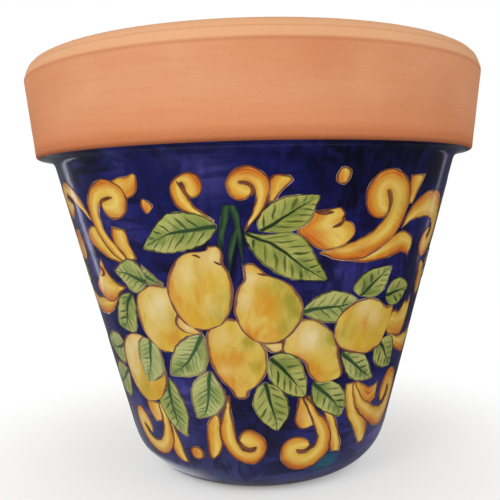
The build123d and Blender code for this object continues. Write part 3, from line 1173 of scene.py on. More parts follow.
SCROLLS = {
    "scroll_upper_left": (
        1,
        [(-37.5, 151), (-41, 153.2), (-44.3, 157.5), (-46.8, 163.5), (-48.6, 170.5), (-49.8, 178),
         (-49.8, 184), (-49, 189), (-46.8, 194.5), (-43.5, 198.3), (-40, 199.6), (-36.5, 198),
         (-34, 194), (-33, 188), (-34, 182), (-36.8, 177.6), (-39.8, 177.2), (-42, 180.5),
         (-43, 184.5)],
        [(-37.3, 151.6), (-37.9, 154.5), (-39.9, 159), (-42.2, 163.8), (-44.4, 169), (-45, 175.5),
         (-44.9, 181), (-44.3, 185), (-43.2, 187.4), (-41.9, 188.6), (-40.6, 189.2), (-39.5, 189.6),
         (-38.7, 189.6), (-38.6, 189.2), (-39.3, 188.9), (-40.2, 188.7), (-41.2, 188.3),
         (-42.2, 187.6), (-43, 186.6)],
        [(WARM, -41, 198, 6, 0.5), (PALE, -37, 184, 5, 0.3)],
    ),
    "scroll_far_left": (
        1,
        [(-49.6, 175), (-51.8, 183), (-54.3, 190), (-57.5, 196), (-61.5, 199.6), (-66, 199.6),
         (-69.8, 195.5), (-70.8, 188), (-69, 181), (-65, 177.6), (-61.6, 180), (-60, 185)],
        [(-50.3, 176), (-54, 182), (-57.5, 186.5), (-59.6, 189.6), (-61.4, 191.4), (-63.2, 192),
         (-64.6, 191.4), (-65, 190.4), (-64.4, 189.6), (-63.2, 189.2), (-61.8, 188.8),
         (-60.4, 188)],
        [(PALE, -57, 193, 6, 0.4)],
    ),
    "curl_small": (
        1,
        [(-10, 174.6), (-14, 178), (-17.5, 181.5), (-19.3, 186), (-20, 191), (-19.4, 196.5),
         (-17.5, 200), (-15.3, 201.6), (-13.3, 200), (-12.2, 196), (-12.4, 192), (-13.6, 188.8),
         (-15, 187.9)],
        [(-9.8, 175.4), (-12.6, 180), (-14.9, 184.6), (-15.9, 188), (-16.5, 191), (-16.9, 194),
         (-17.2, 196.2), (-17, 196.6), (-16.7, 196), (-16.4, 194.4), (-16.1, 192.6), (-15.9, 190.8),
         (-15.6, 189)],
        [(WARM, -13, 197, 5, 0.5)],
    ),
    "hook_middle": (
        1,
        [(-2.5, 169.3), (-0.2, 175.5), (1.8, 181), (3.2, 188), (3.5, 194), (2.6, 199), (0.5, 202.5),
         (-2.4, 204.2), (-5, 201), (-6.4, 195), (-5.8, 190), (-4.2, 187), (-2.6, 186.4),
         (-1.3, 187.6)],
        [(-2.7, 170), (-1.8, 174.5), (-0.6, 179), (0.1, 184), (0.3, 188.5), (0.2, 191),
         (-0.3, 193.2), (-1.4, 195), (-2.8, 195.9), (-3.4, 195.8), (-3, 195.2), (-1.9, 194.3),
         (-0.9, 192.8), (-0.4, 190.6)],
        [(WARM, -2, 202, 8, 0.8), (PALE, -2, 171, 4, 0.6)],
    ),
    "curl_right": (
        1,
        [(16.5, 156.2), (19, 154.2), (24, 151.4), (30, 152), (36, 157.8), (40, 164.5),
         (42.4, 172.5), (43.4, 182.5), (42.4, 192), (39.6, 198.5), (35.3, 201.4), (31, 199.4),
         (28.7, 194.5), (27.9, 188), (28.4, 182.5), (29.8, 177.6), (32.2, 174.8), (34.8, 174.8),
         (35.8, 176.8)],
        [(17, 157), (20.5, 158.8), (25, 160.6), (28.5, 163.4), (32, 167.3), (34.6, 172),
         (36, 176.4), (36.6, 181), (36.3, 185.2), (35.6, 188.3), (35, 189.8), (34.6, 189.7),
         (34.8, 188.9), (35.2, 187.6), (35.6, 186), (35.9, 184.2), (36.1, 182.4), (36.2, 180.6),
         (36.1, 178.8)],
        [(WARM, 30, 153, 9, 0.8), (WARM, 20, 155, 6, 0.7), (WARM, 36, 199, 9, 0.4),
         (COOL, 40, 182, 8, 0.5)],
    ),
    "scroll_far_right": (
        1,
        [(42.8, 167.6), (43.6, 173), (46.2, 180.8), (50, 186.6), (55, 189.4), (60.5, 189),
         (65.5, 184), (68.5, 175), (69, 165), (67, 156), (63.5, 150.5), (59.5, 148.8), (56.3, 152),
         (55.4, 157.5), (56.6, 163), (60.6, 167.6)],
        [(43.4, 168.4), (46, 171.5), (50, 173.4), (54.5, 174), (58.5, 172.6), (61, 170.2),
         (62.4, 167), (62.6, 163.5), (61.8, 161), (60.6, 160), (59.6, 160.2), (59.4, 161),
         (60, 161.8), (60.9, 163), (61.4, 164.6), (61.6, 166.4)],
        [(PALE, 56, 182, 8, 0.4), (WARM, 58, 152, 6, 0.5)],
    ),
    "ribbon_left": (
        0,
        [(-46, 130.5), (-49, 124), (-52, 119.5), (-57, 116), (-63, 115.5), (-69, 118), (-75, 124)],
        [(-46.5, 132), (-50, 128.5), (-54, 127), (-58, 127), (-63, 126), (-68, 129), (-74, 135)],
        [(WARM, -60, 117, 6, 0.4)],
    ),
    "ribbon_right": (
        0,
        [(47, 99), (50, 95.5), (54, 91), (60, 86), (66, 83.5), (73, 86)],
        [(47.2, 100.6), (51, 99.6), (56, 97.6), (61, 97), (66, 98), (72, 104)],
        [],
    ),
    "scroll_lower_left": (
        1,
        [(-37.2, 61.5), (-35.6, 52), (-35.3, 44), (-36, 36), (-38, 29.8), (-41.5, 25.4), (-46, 24),
         (-50.5, 26), (-55, 31), (-58, 38.5), (-58.4, 45), (-57, 51.5), (-54, 54.6), (-50.5, 52.4),
         (-48, 47), (-47.6, 41.5), (-48.4, 37.6)],
        [(-39.6, 61.5), (-39.2, 52), (-39.8, 44), (-41.2, 38.5), (-43, 35.4), (-45.2, 33.6),
         (-47.6, 33.2), (-49.8, 34.2), (-51.6, 36.4), (-52.8, 39), (-53.2, 41), (-52.9, 42),
         (-52.2, 41.8), (-51.6, 40.9), (-51, 39.8), (-50.2, 38.2), (-49.4, 36.8)],
        [(PALE, -54, 46, 6, 0.3), (PALE, -45, 29, 7, 0.3)],
    ),
    "scroll_lower_middle": (
        1,
        [(-10.2, 72.2), (-11.7, 65), (-13.3, 57.5), (-14.5, 49), (-14, 41), (-12, 34.2), (-9, 29.4),
         (-5.5, 26.6), (-2, 26.8), (0.8, 30.5), (2.1, 36.5), (1.4, 42.8), (-1, 47), (-4, 49.2),
         (-6.6, 47.4), (-7.9, 43.6)],
        [(-9.8, 72.2), (-9.9, 65), (-9.6, 57.5), (-9.2, 50), (-8.8, 43), (-7.6, 38), (-5.9, 35.4),
         (-4, 34.8), (-2.3, 35.6), (-1.6, 37.2), (-2, 38), (-3, 37.2), (-4.4, 36.6), (-5.8, 37.4),
         (-6.9, 39.4), (-7.6, 41.6)],
        [(WARM, -3, 29, 6, 0.5), (WARM, 0, 38, 4, 0.5)],
    ),
    "scroll_lower_right": (
        1,
        [(15.2, 70.4), (17.8, 66), (20.6, 58.5), (24, 53), (26.6, 45), (27.7, 37), (27, 30),
         (24, 24.6), (19.4, 20.4), (14, 20.3), (10.2, 23.6), (8, 29.6), (8.2, 36), (10, 41.2),
         (13, 43.2), (16.2, 42), (18.8, 38.8)],
        [(14.4, 70), (16, 64), (18, 57), (19.6, 50.8), (21, 46), (21.8, 41), (21.3, 37),
         (20.1, 34.2), (18.3, 32.2), (16.3, 31.8), (14.7, 32.7), (13.9, 34), (14.3, 34.6),
         (15.6, 33.9), (17, 33.4), (18.3, 34.2), (19.4, 35.8)],
        [(WARM, 12, 24, 6, 0.5)],
    ),
    "scroll_low_far_right": (
        1,
        [(34.2, 73), (35.2, 66), (38, 55.5), (42, 48.5), (48, 41.8), (55, 36.4), (61, 36), (65, 44),
         (66.4, 55), (64.5, 66), (60.5, 74), (56.4, 75.4), (53, 70), (51.6, 63), (52.4, 57),
         (54, 53.4)],
        [(35, 73.2), (37.8, 67), (41.2, 60), (45.5, 56), (50, 52), (54, 50), (57.2, 51), (59, 54.6),
         (59.4, 59), (58.6, 62.4), (57.4, 63.6), (57, 62.8), (57.6, 60.6), (57.8, 58), (57.2, 55.4),
         (55.8, 53)],
        [(WARM, 58, 70, 8, 0.5), (WARM, 50, 44, 8, 0.4)],
    ),
    "ribbon_lower_right": (
        0,
        [(36, 74), (38, 63), (41.4, 53), (45.4, 45.8), (47.4, 38), (47.2, 29)],
        [(31, 74), (32, 62), (34.3, 51.5), (37.7, 43.5), (41.2, 35), (43.4, 28)],
        [(PALE, 45, 31, 5, 0.4)],
    ),
}

PETALS = {
    "fin_upper_left": (
        0,
        [(-33.6, 188.2), (-31, 190), (-29, 195.5), (-28.8, 201.3)],
        [(-37.5, 198.3), (-34.6, 200), (-31.5, 200.8), (-29.3, 202)],
        [(WARM, -31, 198, 6, 0.45)],
    ),
    "petal_in_scroll": (
        2,
        [(-37.4, 152), (-39, 157), (-41, 162), (-41.9, 167), (-40.7, 172.8)],
        [(-34.2, 153.5), (-34.6, 157), (-35.6, 162), (-35.9, 167), (-36.2, 171.2)],
        [(PALE, -38, 163, 5, 0.2)],
    ),
    "fin_left": (
        0,
        [(-40, 150.4), (-45, 153), (-49.8, 157.4), (-53.8, 162), (-55, 166.8), (-53.8, 171)],
        [(-39.4, 152), (-42.6, 157), (-45.4, 162.5), (-47.4, 168), (-48.8, 172), (-51, 173.2)],
        [(WARM, -52, 164, 6, 0.35)],
    ),
    "ball_left": (
        2,
        [(-61, 160), (-62, 166.5), (-65.5, 170), (-70, 166), (-76, 158)],
        [(-61, 159), (-62, 153), (-65.5, 150), (-70, 151.5), (-76, 157)],
        [(WARM, -64, 160, 8, 0.7)],
    ),
    "flame_left": (
        1,
        [(-41.3, 135.6), (-46, 130.8), (-50.5, 125.3), (-56.5, 127.5), (-59.3, 134), (-54.5, 142.5),
         (-52, 152)],
        [(-41.3, 136.2), (-44.5, 137.6), (-47.3, 140.2), (-49, 143.5), (-50, 146.6), (-50.4, 149.6),
         (-51, 152.6)],
        [(WARM, -52, 146, 4, 0.9), (WARM, -51, 126, 4, 0.5), (PALE, -53, 134, 7, 0.35)],
    ),
    "drop_left": (
        0,
        [(-28.3, 188.4), (-28.8, 184), (-28, 180.4), (-27.4, 180)],
        [(-28.1, 188.4), (-26.3, 186), (-25.6, 183.5), (-27, 180.1)],
        [(WARM, -27, 184, 6, 0.8)],
    ),
    "drop_right": (
        0,
        [(20.4, 202.8), (19.4, 198.5), (19.6, 195), (21, 193.2)],
        [(21.2, 203), (23, 200.5), (22.7, 196), (21.4, 193.2)],
        [(WARM, 21, 196, 4, 0.7)],
    ),
    "petal_by_hook": (
        0,
        [(2.6, 184), (3.2, 189.5), (3.4, 195), (4.4, 198.8), (6.3, 199.4)],
        [(4.4, 184.4), (6, 190), (7.7, 193.6), (8.9, 196.3), (7.9, 199)],
        [(WARM, 4, 187, 6, 0.4)],
    ),
    "lobe_right": (
        2,
        [(14, 179.6), (13.3, 174.5), (10.4, 169), (12.9, 164.5), (15, 160), (19, 157.3)],
        [(20.8, 181.3), (22.4, 178), (22.1, 174.6), (24.8, 172), (25.9, 166.5), (22.5, 158.6)],
        [(WARM, 15, 163, 6, 0.4), (PALE, 19, 169, 7, 0.2)],
    ),
    "fin_lower_right": (
        0,
        [(19, 155), (24, 151.6), (30, 149.6), (36, 150.4), (41.5, 152), (44.5, 153.4),
         (46.5, 153.2), (47.8, 152.2), (48.8, 151)],
        [(19.4, 156), (24, 153.6), (30, 153.4), (35.5, 157.6), (39.5, 162.8), (43, 165.6),
         (46.8, 164.2), (49.4, 160.4), (49.8, 156)],
        [(WARM, 42, 155, 8, 0.5)],
    ),
    "petal_top_right": (
        0,
        [(43.5, 181.8), (43.4, 187), (42.6, 193), (42.4, 198.6)],
        [(45.2, 181.8), (46.2, 187.5), (47.6, 193.5), (48.7, 199.2)],
        [(WARM, 45, 187, 6, 0.4)],
    ),
    "drop_far_right": (
        0,
        [(60, 145), (60.4, 138), (61, 130), (64, 122.5)],
        [(61, 145.6), (65.5, 142), (68, 134), (66.5, 123)],
        [(WARM, 63, 134, 8, 0.5)],
    ),
    "flame_right": (
        1,
        [(45.8, 104), (48.5, 101), (50.5, 100), (53, 98.8), (55.5, 98), (57.5, 99), (59, 104),
         (59.9, 111)],
        [(45.5, 112), (49, 116), (51.5, 114.5), (53.5, 117.5), (55, 120.8), (57, 119.5),
         (58.3, 122.5), (59.5, 118)],
        [(COOL, 52, 108, 9, 0.4)],
    ),
    "petal_low_left": (
        0,
        [(-36.5, 52), (-37, 43), (-37.2, 35), (-36.2, 27), (-32.8, 22)],
        [(-34.2, 52), (-33.2, 43), (-32.2, 35), (-31.2, 28.5), (-30.6, 22)],
        [],
    ),
    "petal_under_lemon": (
        0,
        [(-45.4, 62), (-46.3, 57), (-45.6, 51.5), (-43.4, 47.6), (-41.8, 47.4)],
        [(-38, 62), (-38, 57.5), (-38.2, 53), (-39.2, 49.6), (-41.2, 47.4)],
        [(PALE, -42, 53, 5, 0.3)],
    ),
    "dot_low_left": (
        0,
        [(-25.5, 35.6), (-27.4, 34), (-28, 31), (-27, 27.4), (-25.4, 26.6)],
        [(-25, 35.6), (-23.2, 34), (-22.4, 31), (-23.2, 27.8), (-25, 26.6)],
        [(WARM, -25, 31, 6, 0.8)],
    ),
    "petal_low_middle": (
        0,
        [(-15.6, 60), (-18.3, 54), (-19.6, 45), (-20.2, 36.5), (-20, 31), (-19.2, 28)],
        [(-14.6, 60), (-13.8, 52.5), (-13.8, 45.5), (-14.2, 38.5), (-15.4, 33), (-18.4, 28.2)],
        [],
    ),
    "petal_beside_curl": (
        0,
        [(13.2, 70), (13.2, 62), (12.7, 54), (14, 49.2), (16, 47.8)],
        [(17.6, 70), (19.4, 62), (20.6, 56), (20.2, 51), (17.6, 48.2)],
        [(PALE, 16, 56, 5, 0.2)],
    ),
    "spear_low_right": (
        0,
        [(22.5, 60), (25.4, 50), (26.6, 42), (27.6, 34), (29, 29)],
        [(24.6, 60.5), (28.4, 52), (30.6, 43), (32.8, 34), (33, 28)],
        [],
    ),
    "petal_low_right": (
        0,
        [(36.2, 70), (39, 60), (44, 54.6), (49, 59)],
        [(36, 73.8), (40, 70.6), (44.2, 67.2), (48.2, 69.6)],
        [(WARM, 43, 63, 9, 1.0)],
    ),
}

STEMS = {
    "stem_left": (
        1,
        [(-7.6, 183.6), (-8.2, 176), (-9, 168), (-9.4, 160), (-9.6, 150)],
        [(-5.8, 184), (-6.4, 176), (-7.6, 168), (-8.6, 160), (-9.4, 150)],
    ),
    "stem_right": (
        1,
        [(-6.4, 184), (-5.4, 178), (-4.8, 170), (-4.2, 162), (-3.6, 150)],
        [(-4.6, 183.6), (-3.9, 178), (-3.5, 170), (-3.3, 162), (-3.2, 150)],
    ),
    "stem_middle": (
        1,
        [(-4.6, 173), (-6, 166), (-7, 157), (-7.4, 143)],
        [(-4.1, 171), (-4.9, 164), (-6, 155), (-7.1, 143)],
    ),
}

LEMONS = {
    "lemon_behind": (
        4,
        [(-23.5, 122), (-24.6, 116), (-22.5, 111.5), (-18.5, 109.8)],
        [(-20, 121), (-20, 116), (-18.5, 113), (-16.5, 111)],
        [(PALE, -21, 115, 6, 0.5)],
    ),
    "lemon_upper_left": (
        5,
        [(-17.5, 112.6), (-21.5, 116.5), (-24.4, 125), (-25.3, 134), (-24.4, 144), (-21.5, 153),
         (-17.5, 158), (-14, 158.6), (-12.6, 159.4), (-12, 161.8)],
        [(-16.5, 112.6), (-12.5, 114.2), (-9, 119.3), (-7.1, 127), (-6.5, 137), (-7.2, 146),
         (-8.6, 152.6), (-8.6, 157), (-9, 160), (-10.2, 162)],
        [(WARM, -24, 142, 6, 0.8), (WARM, -23.5, 130, 6, 0.8), (WARM, -15.5, 136, 6, 0.35),
         (PALE, -12, 155, 7, 0.7), (PALE, -19, 146, 7, 0.5), (COOL, -10, 121, 8, 0.45),
         (COOL, -8.5, 134, 5, 0.4), (WARM, -21, 121, 6, 0.4), (PALE, -13, 126, 6, 0.3)],
    ),
    "lemon_upper_middle": (
        5,
        [(2, 104.2), (-1.8, 107.5), (-4.8, 114.5), (-6.1, 123), (-6, 131), (-4.8, 138), (-3, 142.8),
         (-3.2, 146), (-3.2, 149.6), (-1.9, 152)],
        [(3, 104.2), (7, 106), (10.8, 112), (12.9, 120), (12.7, 127.5), (10.8, 134.5), (7, 141.5),
         (2.6, 145.2), (1, 148.4), (-0.9, 151.8)],
        [(PALE, -3.8, 130, 5, 0.8), (PALE, -1.5, 143, 5, 0.6), (WARM, 1, 124, 6, 0.7),
         (WARM, 1, 108, 8, 0.8), (WARM, -3.5, 113, 5, 0.6), (COOL, 5, 140, 6, 0.8),
         (COOL, 9.5, 130, 6, 0.85), (COOL, 9, 114, 6, 0.7), (COOL, 11, 122, 5, 0.7),
         (WARM, 3, 132, 5, 0.45)],
    ),
    "lemon_left": (
        3,
        [(-31, 97.2), (-34.5, 101), (-37.3, 108), (-38.4, 116), (-38.2, 125), (-36.3, 132.5),
         (-33, 137), (-29.5, 139)],
        [(-30, 97.2), (-26, 98.4), (-22, 102.6), (-18.5, 110), (-18, 119), (-20, 128), (-23.4, 135),
         (-27.5, 138.7)],
        [(PALE, -30.5, 125, 8, 0.9), (PALE, -34, 108, 6, 0.4), (WARM, -26, 108, 7, 0.35),
         (COOL, -27, 118, 7, 0.25), (PALE, -27, 133, 6, 0.4)],
    ),
    "lemon_lower_middle": (
        4,
        [(-8.5, 120), (-12.5, 117), (-15, 110), (-15.4, 101), (-14.5, 91), (-12.2, 82), (-9.7, 77),
         (-8.6, 74.6), (-7.9, 71.8), (-6.3, 69.5)],
        [(-7.5, 120), (-3.5, 116), (0, 108), (2.2, 100), (2.6, 91.5), (1.4, 83), (-1.4, 77.8),
         (-3, 75.4), (-3.4, 72.4), (-4.8, 69.7)],
        [(WARM, -12.5, 94, 6, 0.7), (WARM, -8, 80, 7, 0.8), (WARM, -6, 96, 6, 0.5),
         (PALE, -11, 108, 6, 0.5), (COOL, 0, 90, 5, 0.5), (COOL, -3, 105, 5, 0.7),
         (PALE, -10, 88, 4, 0.3)],
    ),
    "lemon_lower_left": (
        3,
        [(-43.5, 107), (-48, 103.5), (-51.4, 97), (-53.2, 88), (-52.8, 78), (-51, 69), (-47.6, 63),
         (-44.5, 61)],
        [(-42.5, 107), (-38.5, 105), (-35, 98), (-33, 90), (-32.3, 82), (-33.6, 73), (-37.5, 65),
         (-43, 61)],
        [(PALE, -48, 92, 8, 0.9), (PALE, -43, 101, 7, 0.6), (PALE, -50, 80, 7, 0.5),
         (WARM, -38, 68, 7, 0.3), (COOL, -44, 70, 7, 0.45)],
    ),
    "lemon_lower_right": (
        4,
        [(12, 118.3), (9, 113), (7.3, 106), (8, 98.5), (11.8, 95.8), (14.9, 90), (16.5, 83.5),
         (19.3, 78.6), (23, 77.5), (26.3, 79)],
        [(12.5, 118.6), (17, 117), (21, 112), (24, 104.5), (25.9, 97), (27, 89.5), (28.1, 84.5),
         (28.3, 81.6), (27.8, 79.6), (26.8, 79)],
        [(PALE, 15.5, 106, 7, 0.95), (PALE, 12.5, 112, 5, 0.4), (COOL, 22.5, 105, 6, 0.75),
         (COOL, 19, 114, 5, 0.7), (WARM, 19, 82, 5, 0.6), (WARM, 12.5, 96, 5, 0.8),
         (WARM, 16, 88, 5, 0.6)],
    ),
    "lemon_right": (
        3,
        [(23.4, 110), (24, 104.5), (27.5, 97), (33, 93.6), (38.5, 92.4), (43.5, 95.6),
         (45.6, 103.5), (46.4, 109.5), (47.4, 114)],
        [(23.4, 111), (24.2, 117), (27.5, 123.6), (33, 127), (38.3, 125.5), (42.3, 121),
         (44.5, 120), (46.6, 119.6), (47.3, 117)],
        [(WARM, 35, 112, 6, 0.5), (COOL, 39, 103, 7, 0.25), (COOL, 28, 108, 7, 0.5),
         (PALE, 33, 121, 7, 0.4), (PALE, 39, 114, 7, 0.35)],
    ),
    "lemon_tip": (
        3,
        [(1.2, 103.8), (3, 100.8), (4.6, 98.9), (6, 98.8)],
        [(1.6, 104.2), (5, 104.8), (8.4, 104.6), (9.4, 100.5)],
        [(PALE, 5, 102, 4, 0.5)],
    ),
}

# Brown lines inside the curls, on the big petal and at the lemons' necks
LINES = {
    "curl_small": [(-18, 197), (-16.9, 193.5), (-16, 190), (-14.6, 187.6)],
    "hook_middle": [(-3.4, 196), (-1.4, 194.8), (-0.2, 192), (-0.8, 188.2)],
    "curl_right": [(34.4, 190), (35.3, 187.4), (36.1, 183.4), (36.1, 177.6)],
    "scroll_far_right": [(59.3, 161), (60.4, 162.8), (61.2, 166.6)],
    "scroll_upper_left": [(-38.2, 189.5), (-40.4, 188.9), (-42.6, 187.3), (-43.4, 184)],
    "scroll_far_left": [(-65, 190.6), (-62.6, 189.4), (-60.2, 186.8)],
    "scroll_lower_left": [(-53.1, 41.6), (-51.2, 40), (-49.4, 37.4)],
    "scroll_lower_middle": [(-1.7, 37.6), (-3.8, 36.5), (-6, 37.8), (-7.9, 42.4)],
    "scroll_lower_right": [(13.9, 34.4), (16, 33.2), (18, 34), (19.4, 37.2)],
    "scroll_low_far_right": [(57.2, 63.2), (57.9, 59), (56.6, 55.4), (54.6, 53.2)],
    "lobe_top": [(14.6, 179), (16.8, 178.2), (19.4, 178.8)],
    "lobe_notch": [(22.6, 175.4), (21.8, 172.6), (19.4, 170.2)],
    "flame_left": [(-52.6, 147.5), (-51.4, 143.6), (-53.6, 141.2)],
    "lemon_neck": [(-10.9, 153.2), (-9.9, 152), (-8.8, 151)],
    "lemon_shoulder": [(-16.6, 156.8), (-15.2, 156.2), (-14.3, 155)],
    "lemon_crease": [(0.2, 146), (1.8, 145.2), (3.4, 144.6)],
}
LINE_WIDTH = 1.25
FINE_LINE_WIDTH = 0.75
LINE_LAYER = 6

# Leaves also have a tone: 0 is the pale green, 1 the olive.
LEAVES = {
    "leaf_01": (
        2, 0.6,
        [(-9.3, 172.8), (-11.5, 176.4), (-14.5, 179.3), (-18, 180.5), (-22, 179), (-25.3, 174),
         (-28, 167.5), (-31, 160.2)],
        [(-9.3, 172.2), (-10.6, 168), (-13, 163), (-17, 160), (-21.5, 158.4), (-25, 158.2),
         (-28, 158.9), (-31, 159.8)],
    ),
    "leaf_02": (
        3, 0.9,
        [(0.9, 169.6), (0.5, 174), (2, 180.5), (5.5, 186), (9.5, 188.3), (13, 188.2),
         (15.4, 188.1)],
        [(1.3, 169.2), (5, 168.4), (9.5, 169.6), (12.5, 173), (14, 178), (14.9, 183),
         (15.6, 187.7)],
    ),
    "leaf_03": (
        4, 0.85,
        [(-2.5, 169), (3, 167.3), (8, 168.2), (11.3, 165.8), (13.8, 159.5), (16.5, 151),
         (19.3, 140.9)],
        [(-2.7, 168.4), (-2, 163.5), (-0.3, 157), (3, 149.3), (7, 144), (12, 141.6), (18.9, 140.3)],
    ),
    "leaf_04": (
        3, 0.35,
        [(-32, 140.6), (-32.7, 146), (-34.3, 151), (-37.2, 153.8), (-40.3, 151.4), (-43, 148.3),
         (-45, 145.8)],
        [(-32, 139.6), (-34, 136), (-37, 133.4), (-39.6, 134.6), (-41.3, 138.5), (-43, 142.4),
         (-45, 145.2)],
    ),
    "leaf_05": (
        2, 0.1,
        [(-33, 150.5), (-30.5, 146.5), (-28.3, 142.3), (-26.3, 139.5)],
        [(-34, 141), (-31.5, 139), (-29, 138.6), (-26.5, 139)],
    ),
    "leaf_06": (
        2, 0.5,
        [(-39.8, 132.6), (-43.2, 132), (-46.4, 128), (-48.6, 121), (-50.2, 114), (-50.8, 110.8)],
        [(-39.2, 132), (-39, 126), (-39.6, 119.5), (-40.8, 111), (-43.8, 107), (-50.2, 109.8)],
    ),
    "leaf_07": (
        2, 0.1,
        [(-51, 98.6), (-53.6, 103.6), (-58, 104.2), (-62.3, 101), (-66.5, 94.5)],
        [(-51, 97.4), (-52.6, 88), (-55.5, 82.6), (-60.5, 85.5), (-66.3, 93.8)],
    ),
    "leaf_08": (
        2, 0.1,
        [(-54, 79), (-58, 82.5), (-63, 82), (-67.5, 76), (-71.5, 66)],
        [(-54, 78), (-55, 70), (-57.5, 61), (-62.5, 58.6), (-71, 65)],
    ),
    "leaf_09": (
        5, 0.05,
        [(-36.3, 104.6), (-39.5, 104.6), (-42, 99.8), (-43.3, 92.5), (-43, 84), (-41.7, 75.6)],
        [(-35.7, 104.2), (-33, 98.5), (-32.3, 90), (-33.3, 82.5), (-37, 78), (-41.2, 75.4)],
    ),
    "leaf_10": (
        2, 0.4,
        [(-32.3, 80.6), (-35.4, 76), (-37.4, 69), (-37.9, 60.5), (-36, 52), (-33, 45.5),
         (-28.8, 41.4)],
        [(-31.7, 80.4), (-29.4, 75.6), (-27.4, 67.5), (-26.6, 58), (-27.2, 49.5), (-28.1, 44.5),
         (-28.2, 41.6)],
    ),
    "leaf_11": (
        4, 0.15,
        [(-16.8, 110.4), (-20.3, 109), (-24, 105), (-27.2, 98.6), (-29, 91.5), (-30.3, 82.8)],
        [(-16.3, 110), (-15.6, 101.5), (-16.1, 92.5), (-18.3, 85.8), (-23, 82.9), (-30, 82.2)],
    ),
    "leaf_12": (
        2, 0.2,
        [(-15.9, 87.4), (-19.6, 83), (-22.5, 76.8), (-23.6, 68), (-23.4, 61), (-22.7, 55.4)],
        [(-15.2, 87), (-12.9, 79.5), (-11.1, 73), (-11.7, 66), (-14.5, 59.6), (-22.2, 55.2)],
    ),
    "leaf_13": (
        5, 0.8,
        [(3.6, 95.6), (7, 98.4), (11.5, 95.3), (13.9, 88.5), (15.6, 80), (15.8, 69.6)],
        [(3.2, 95), (2.8, 88), (4.2, 80.5), (7.6, 74.4), (11.8, 70.6), (15.4, 69.2)],
    ),
    "leaf_14": (
        6, 0.75,
        [(1.8, 80.4), (-0.7, 76), (-2, 68.5), (-0.9, 60.5), (2, 53.6), (5.9, 48.8)],
        [(2.3, 80.4), (5.8, 77.4), (8.6, 71.5), (10, 63.5), (9.3, 56), (6.5, 48.8)],
    ),
    "leaf_15": (
        2, 0.55,
        [(18, 78.6), (22.5, 78.4), (27, 75.4), (30.4, 69.4), (31.8, 61), (30.9, 52.6)],
        [(17.8, 77.8), (17.9, 70), (19.6, 63.5), (22.7, 58.6), (26.5, 55.6), (30.3, 52.3)],
    ),
    "leaf_16": (
        2, 0.5,
        [(26.8, 95.6), (31.5, 94.8), (36.3, 91.6), (39.6, 85.6), (42, 79), (44.3, 74)],
        [(26.8, 94.8), (28.3, 87), (31, 79.8), (35, 75.4), (39.6, 73.8), (44, 73.6)],
    ),
    "leaf_17": (
        2, 0.45,
        [(12.8, 123), (15, 128.4), (18.4, 132.3), (22.2, 133.6), (26.8, 131.4), (30.3, 127.2)],
        [(12.8, 122.2), (15.6, 118.6), (19.6, 115.8), (23.6, 115), (27.6, 118.4), (30.3, 126.4)],
    ),
    "leaf_18": (
        3, 0.65,
        [(30.4, 129.6), (28.4, 134), (29.6, 139.8), (33, 143.8), (37.3, 145.2), (41.6, 145.6)],
        [(31.2, 129), (36, 127.8), (39, 129.8), (40.7, 134), (41.4, 139.5), (41.9, 145.2)],
    ),
    "leaf_19": (
        2, 0.8,
        [(41.8, 127.6), (42.6, 132.4), (45, 136.8), (48.4, 136.5), (51.4, 134.2), (53.8, 131.3)],
        [(41.8, 126.6), (43.6, 122.6), (46.8, 120.4), (49.8, 121.6), (52.2, 125.6), (53.8, 130.7)],
    ),
    "leaf_20": (
        2, 0.8,
        [(44, 98.6), (48, 99.8), (51.6, 97.2), (53.2, 92.4), (53.9, 86), (54.5, 79)],
        [(43.6, 98), (41.4, 91.6), (42.8, 85.6), (45.6, 80.8), (49.5, 79), (54.2, 78.5)],
    ),
}

LEAF_TEETH = 0.55
SCROLL_TONE, PETAL_TONE = 0.4, 0.7  # these only give their brush marks unlike starts

# The two narrow sides between the painted panels, from the same shapes: the
# shape, how far it is turned and raised, and whether its mirror image is there too.
SIDE_PLAN = (
    ("scroll_upper_left", 120.8, 0.0, True), ("drop_right", 69.0, -4.0, False),
    ("leaf_17", 52.5, 17.0, True), ("lemon_lower_middle", 96.5, 22.0, False),
    ("leaf_12", 95.0, 8.0, True), ("scroll_lower_middle", 84.6, -1.0, True),
    ("dot_low_left", 115.3, 18.0, False),
)


def moved(places, turn, mirror, rise=0.0):
    """The same places turned round the pot and raised, mirrored first if asked."""
    places = np.array(places, float)
    places[:, 0] = places[:, 0] * (-1 if mirror else 1) + turn
    places[:, 1] += rise
    return places


def paint_shape(panel, name, turn, mirror, rise=0.0):
    """One shape of the drawing, at a turn and height, in the paint of its kind."""
    mesh_name = f"{panel}_{name}"
    if name in LEAVES:
        layer, tone, first, second = LEAVES[name]
        options = {"material": LEAF, "tone": tone, "teeth": LEAF_TEETH, "blunt": True}
        dabs = ()
    elif name in STEMS:
        (layer, first, second), dabs = STEMS[name], ()
        options = {"material": STEM}
    elif name in LEMONS:
        layer, first, second, dabs = LEMONS[name]
        options = {"material": LEMON, "blunt": True}
    else:
        layer, first, second, dabs = SCROLLS[name] if name in SCROLLS else PETALS[name]
        options = {"material": SCROLL, "tone": SCROLL_TONE if name in SCROLLS else PETAL_TONE}
    washes = [
        (kind, (-phi if mirror else phi) + turn, slant + rise, reach, strength)
        for kind, phi, slant, reach, strength in dabs
    ]
    first, second = (moved(edge, turn, mirror, rise) for edge in (first, second))
    painted_patch(mesh_name, first, second, layer, washes=washes, **options)


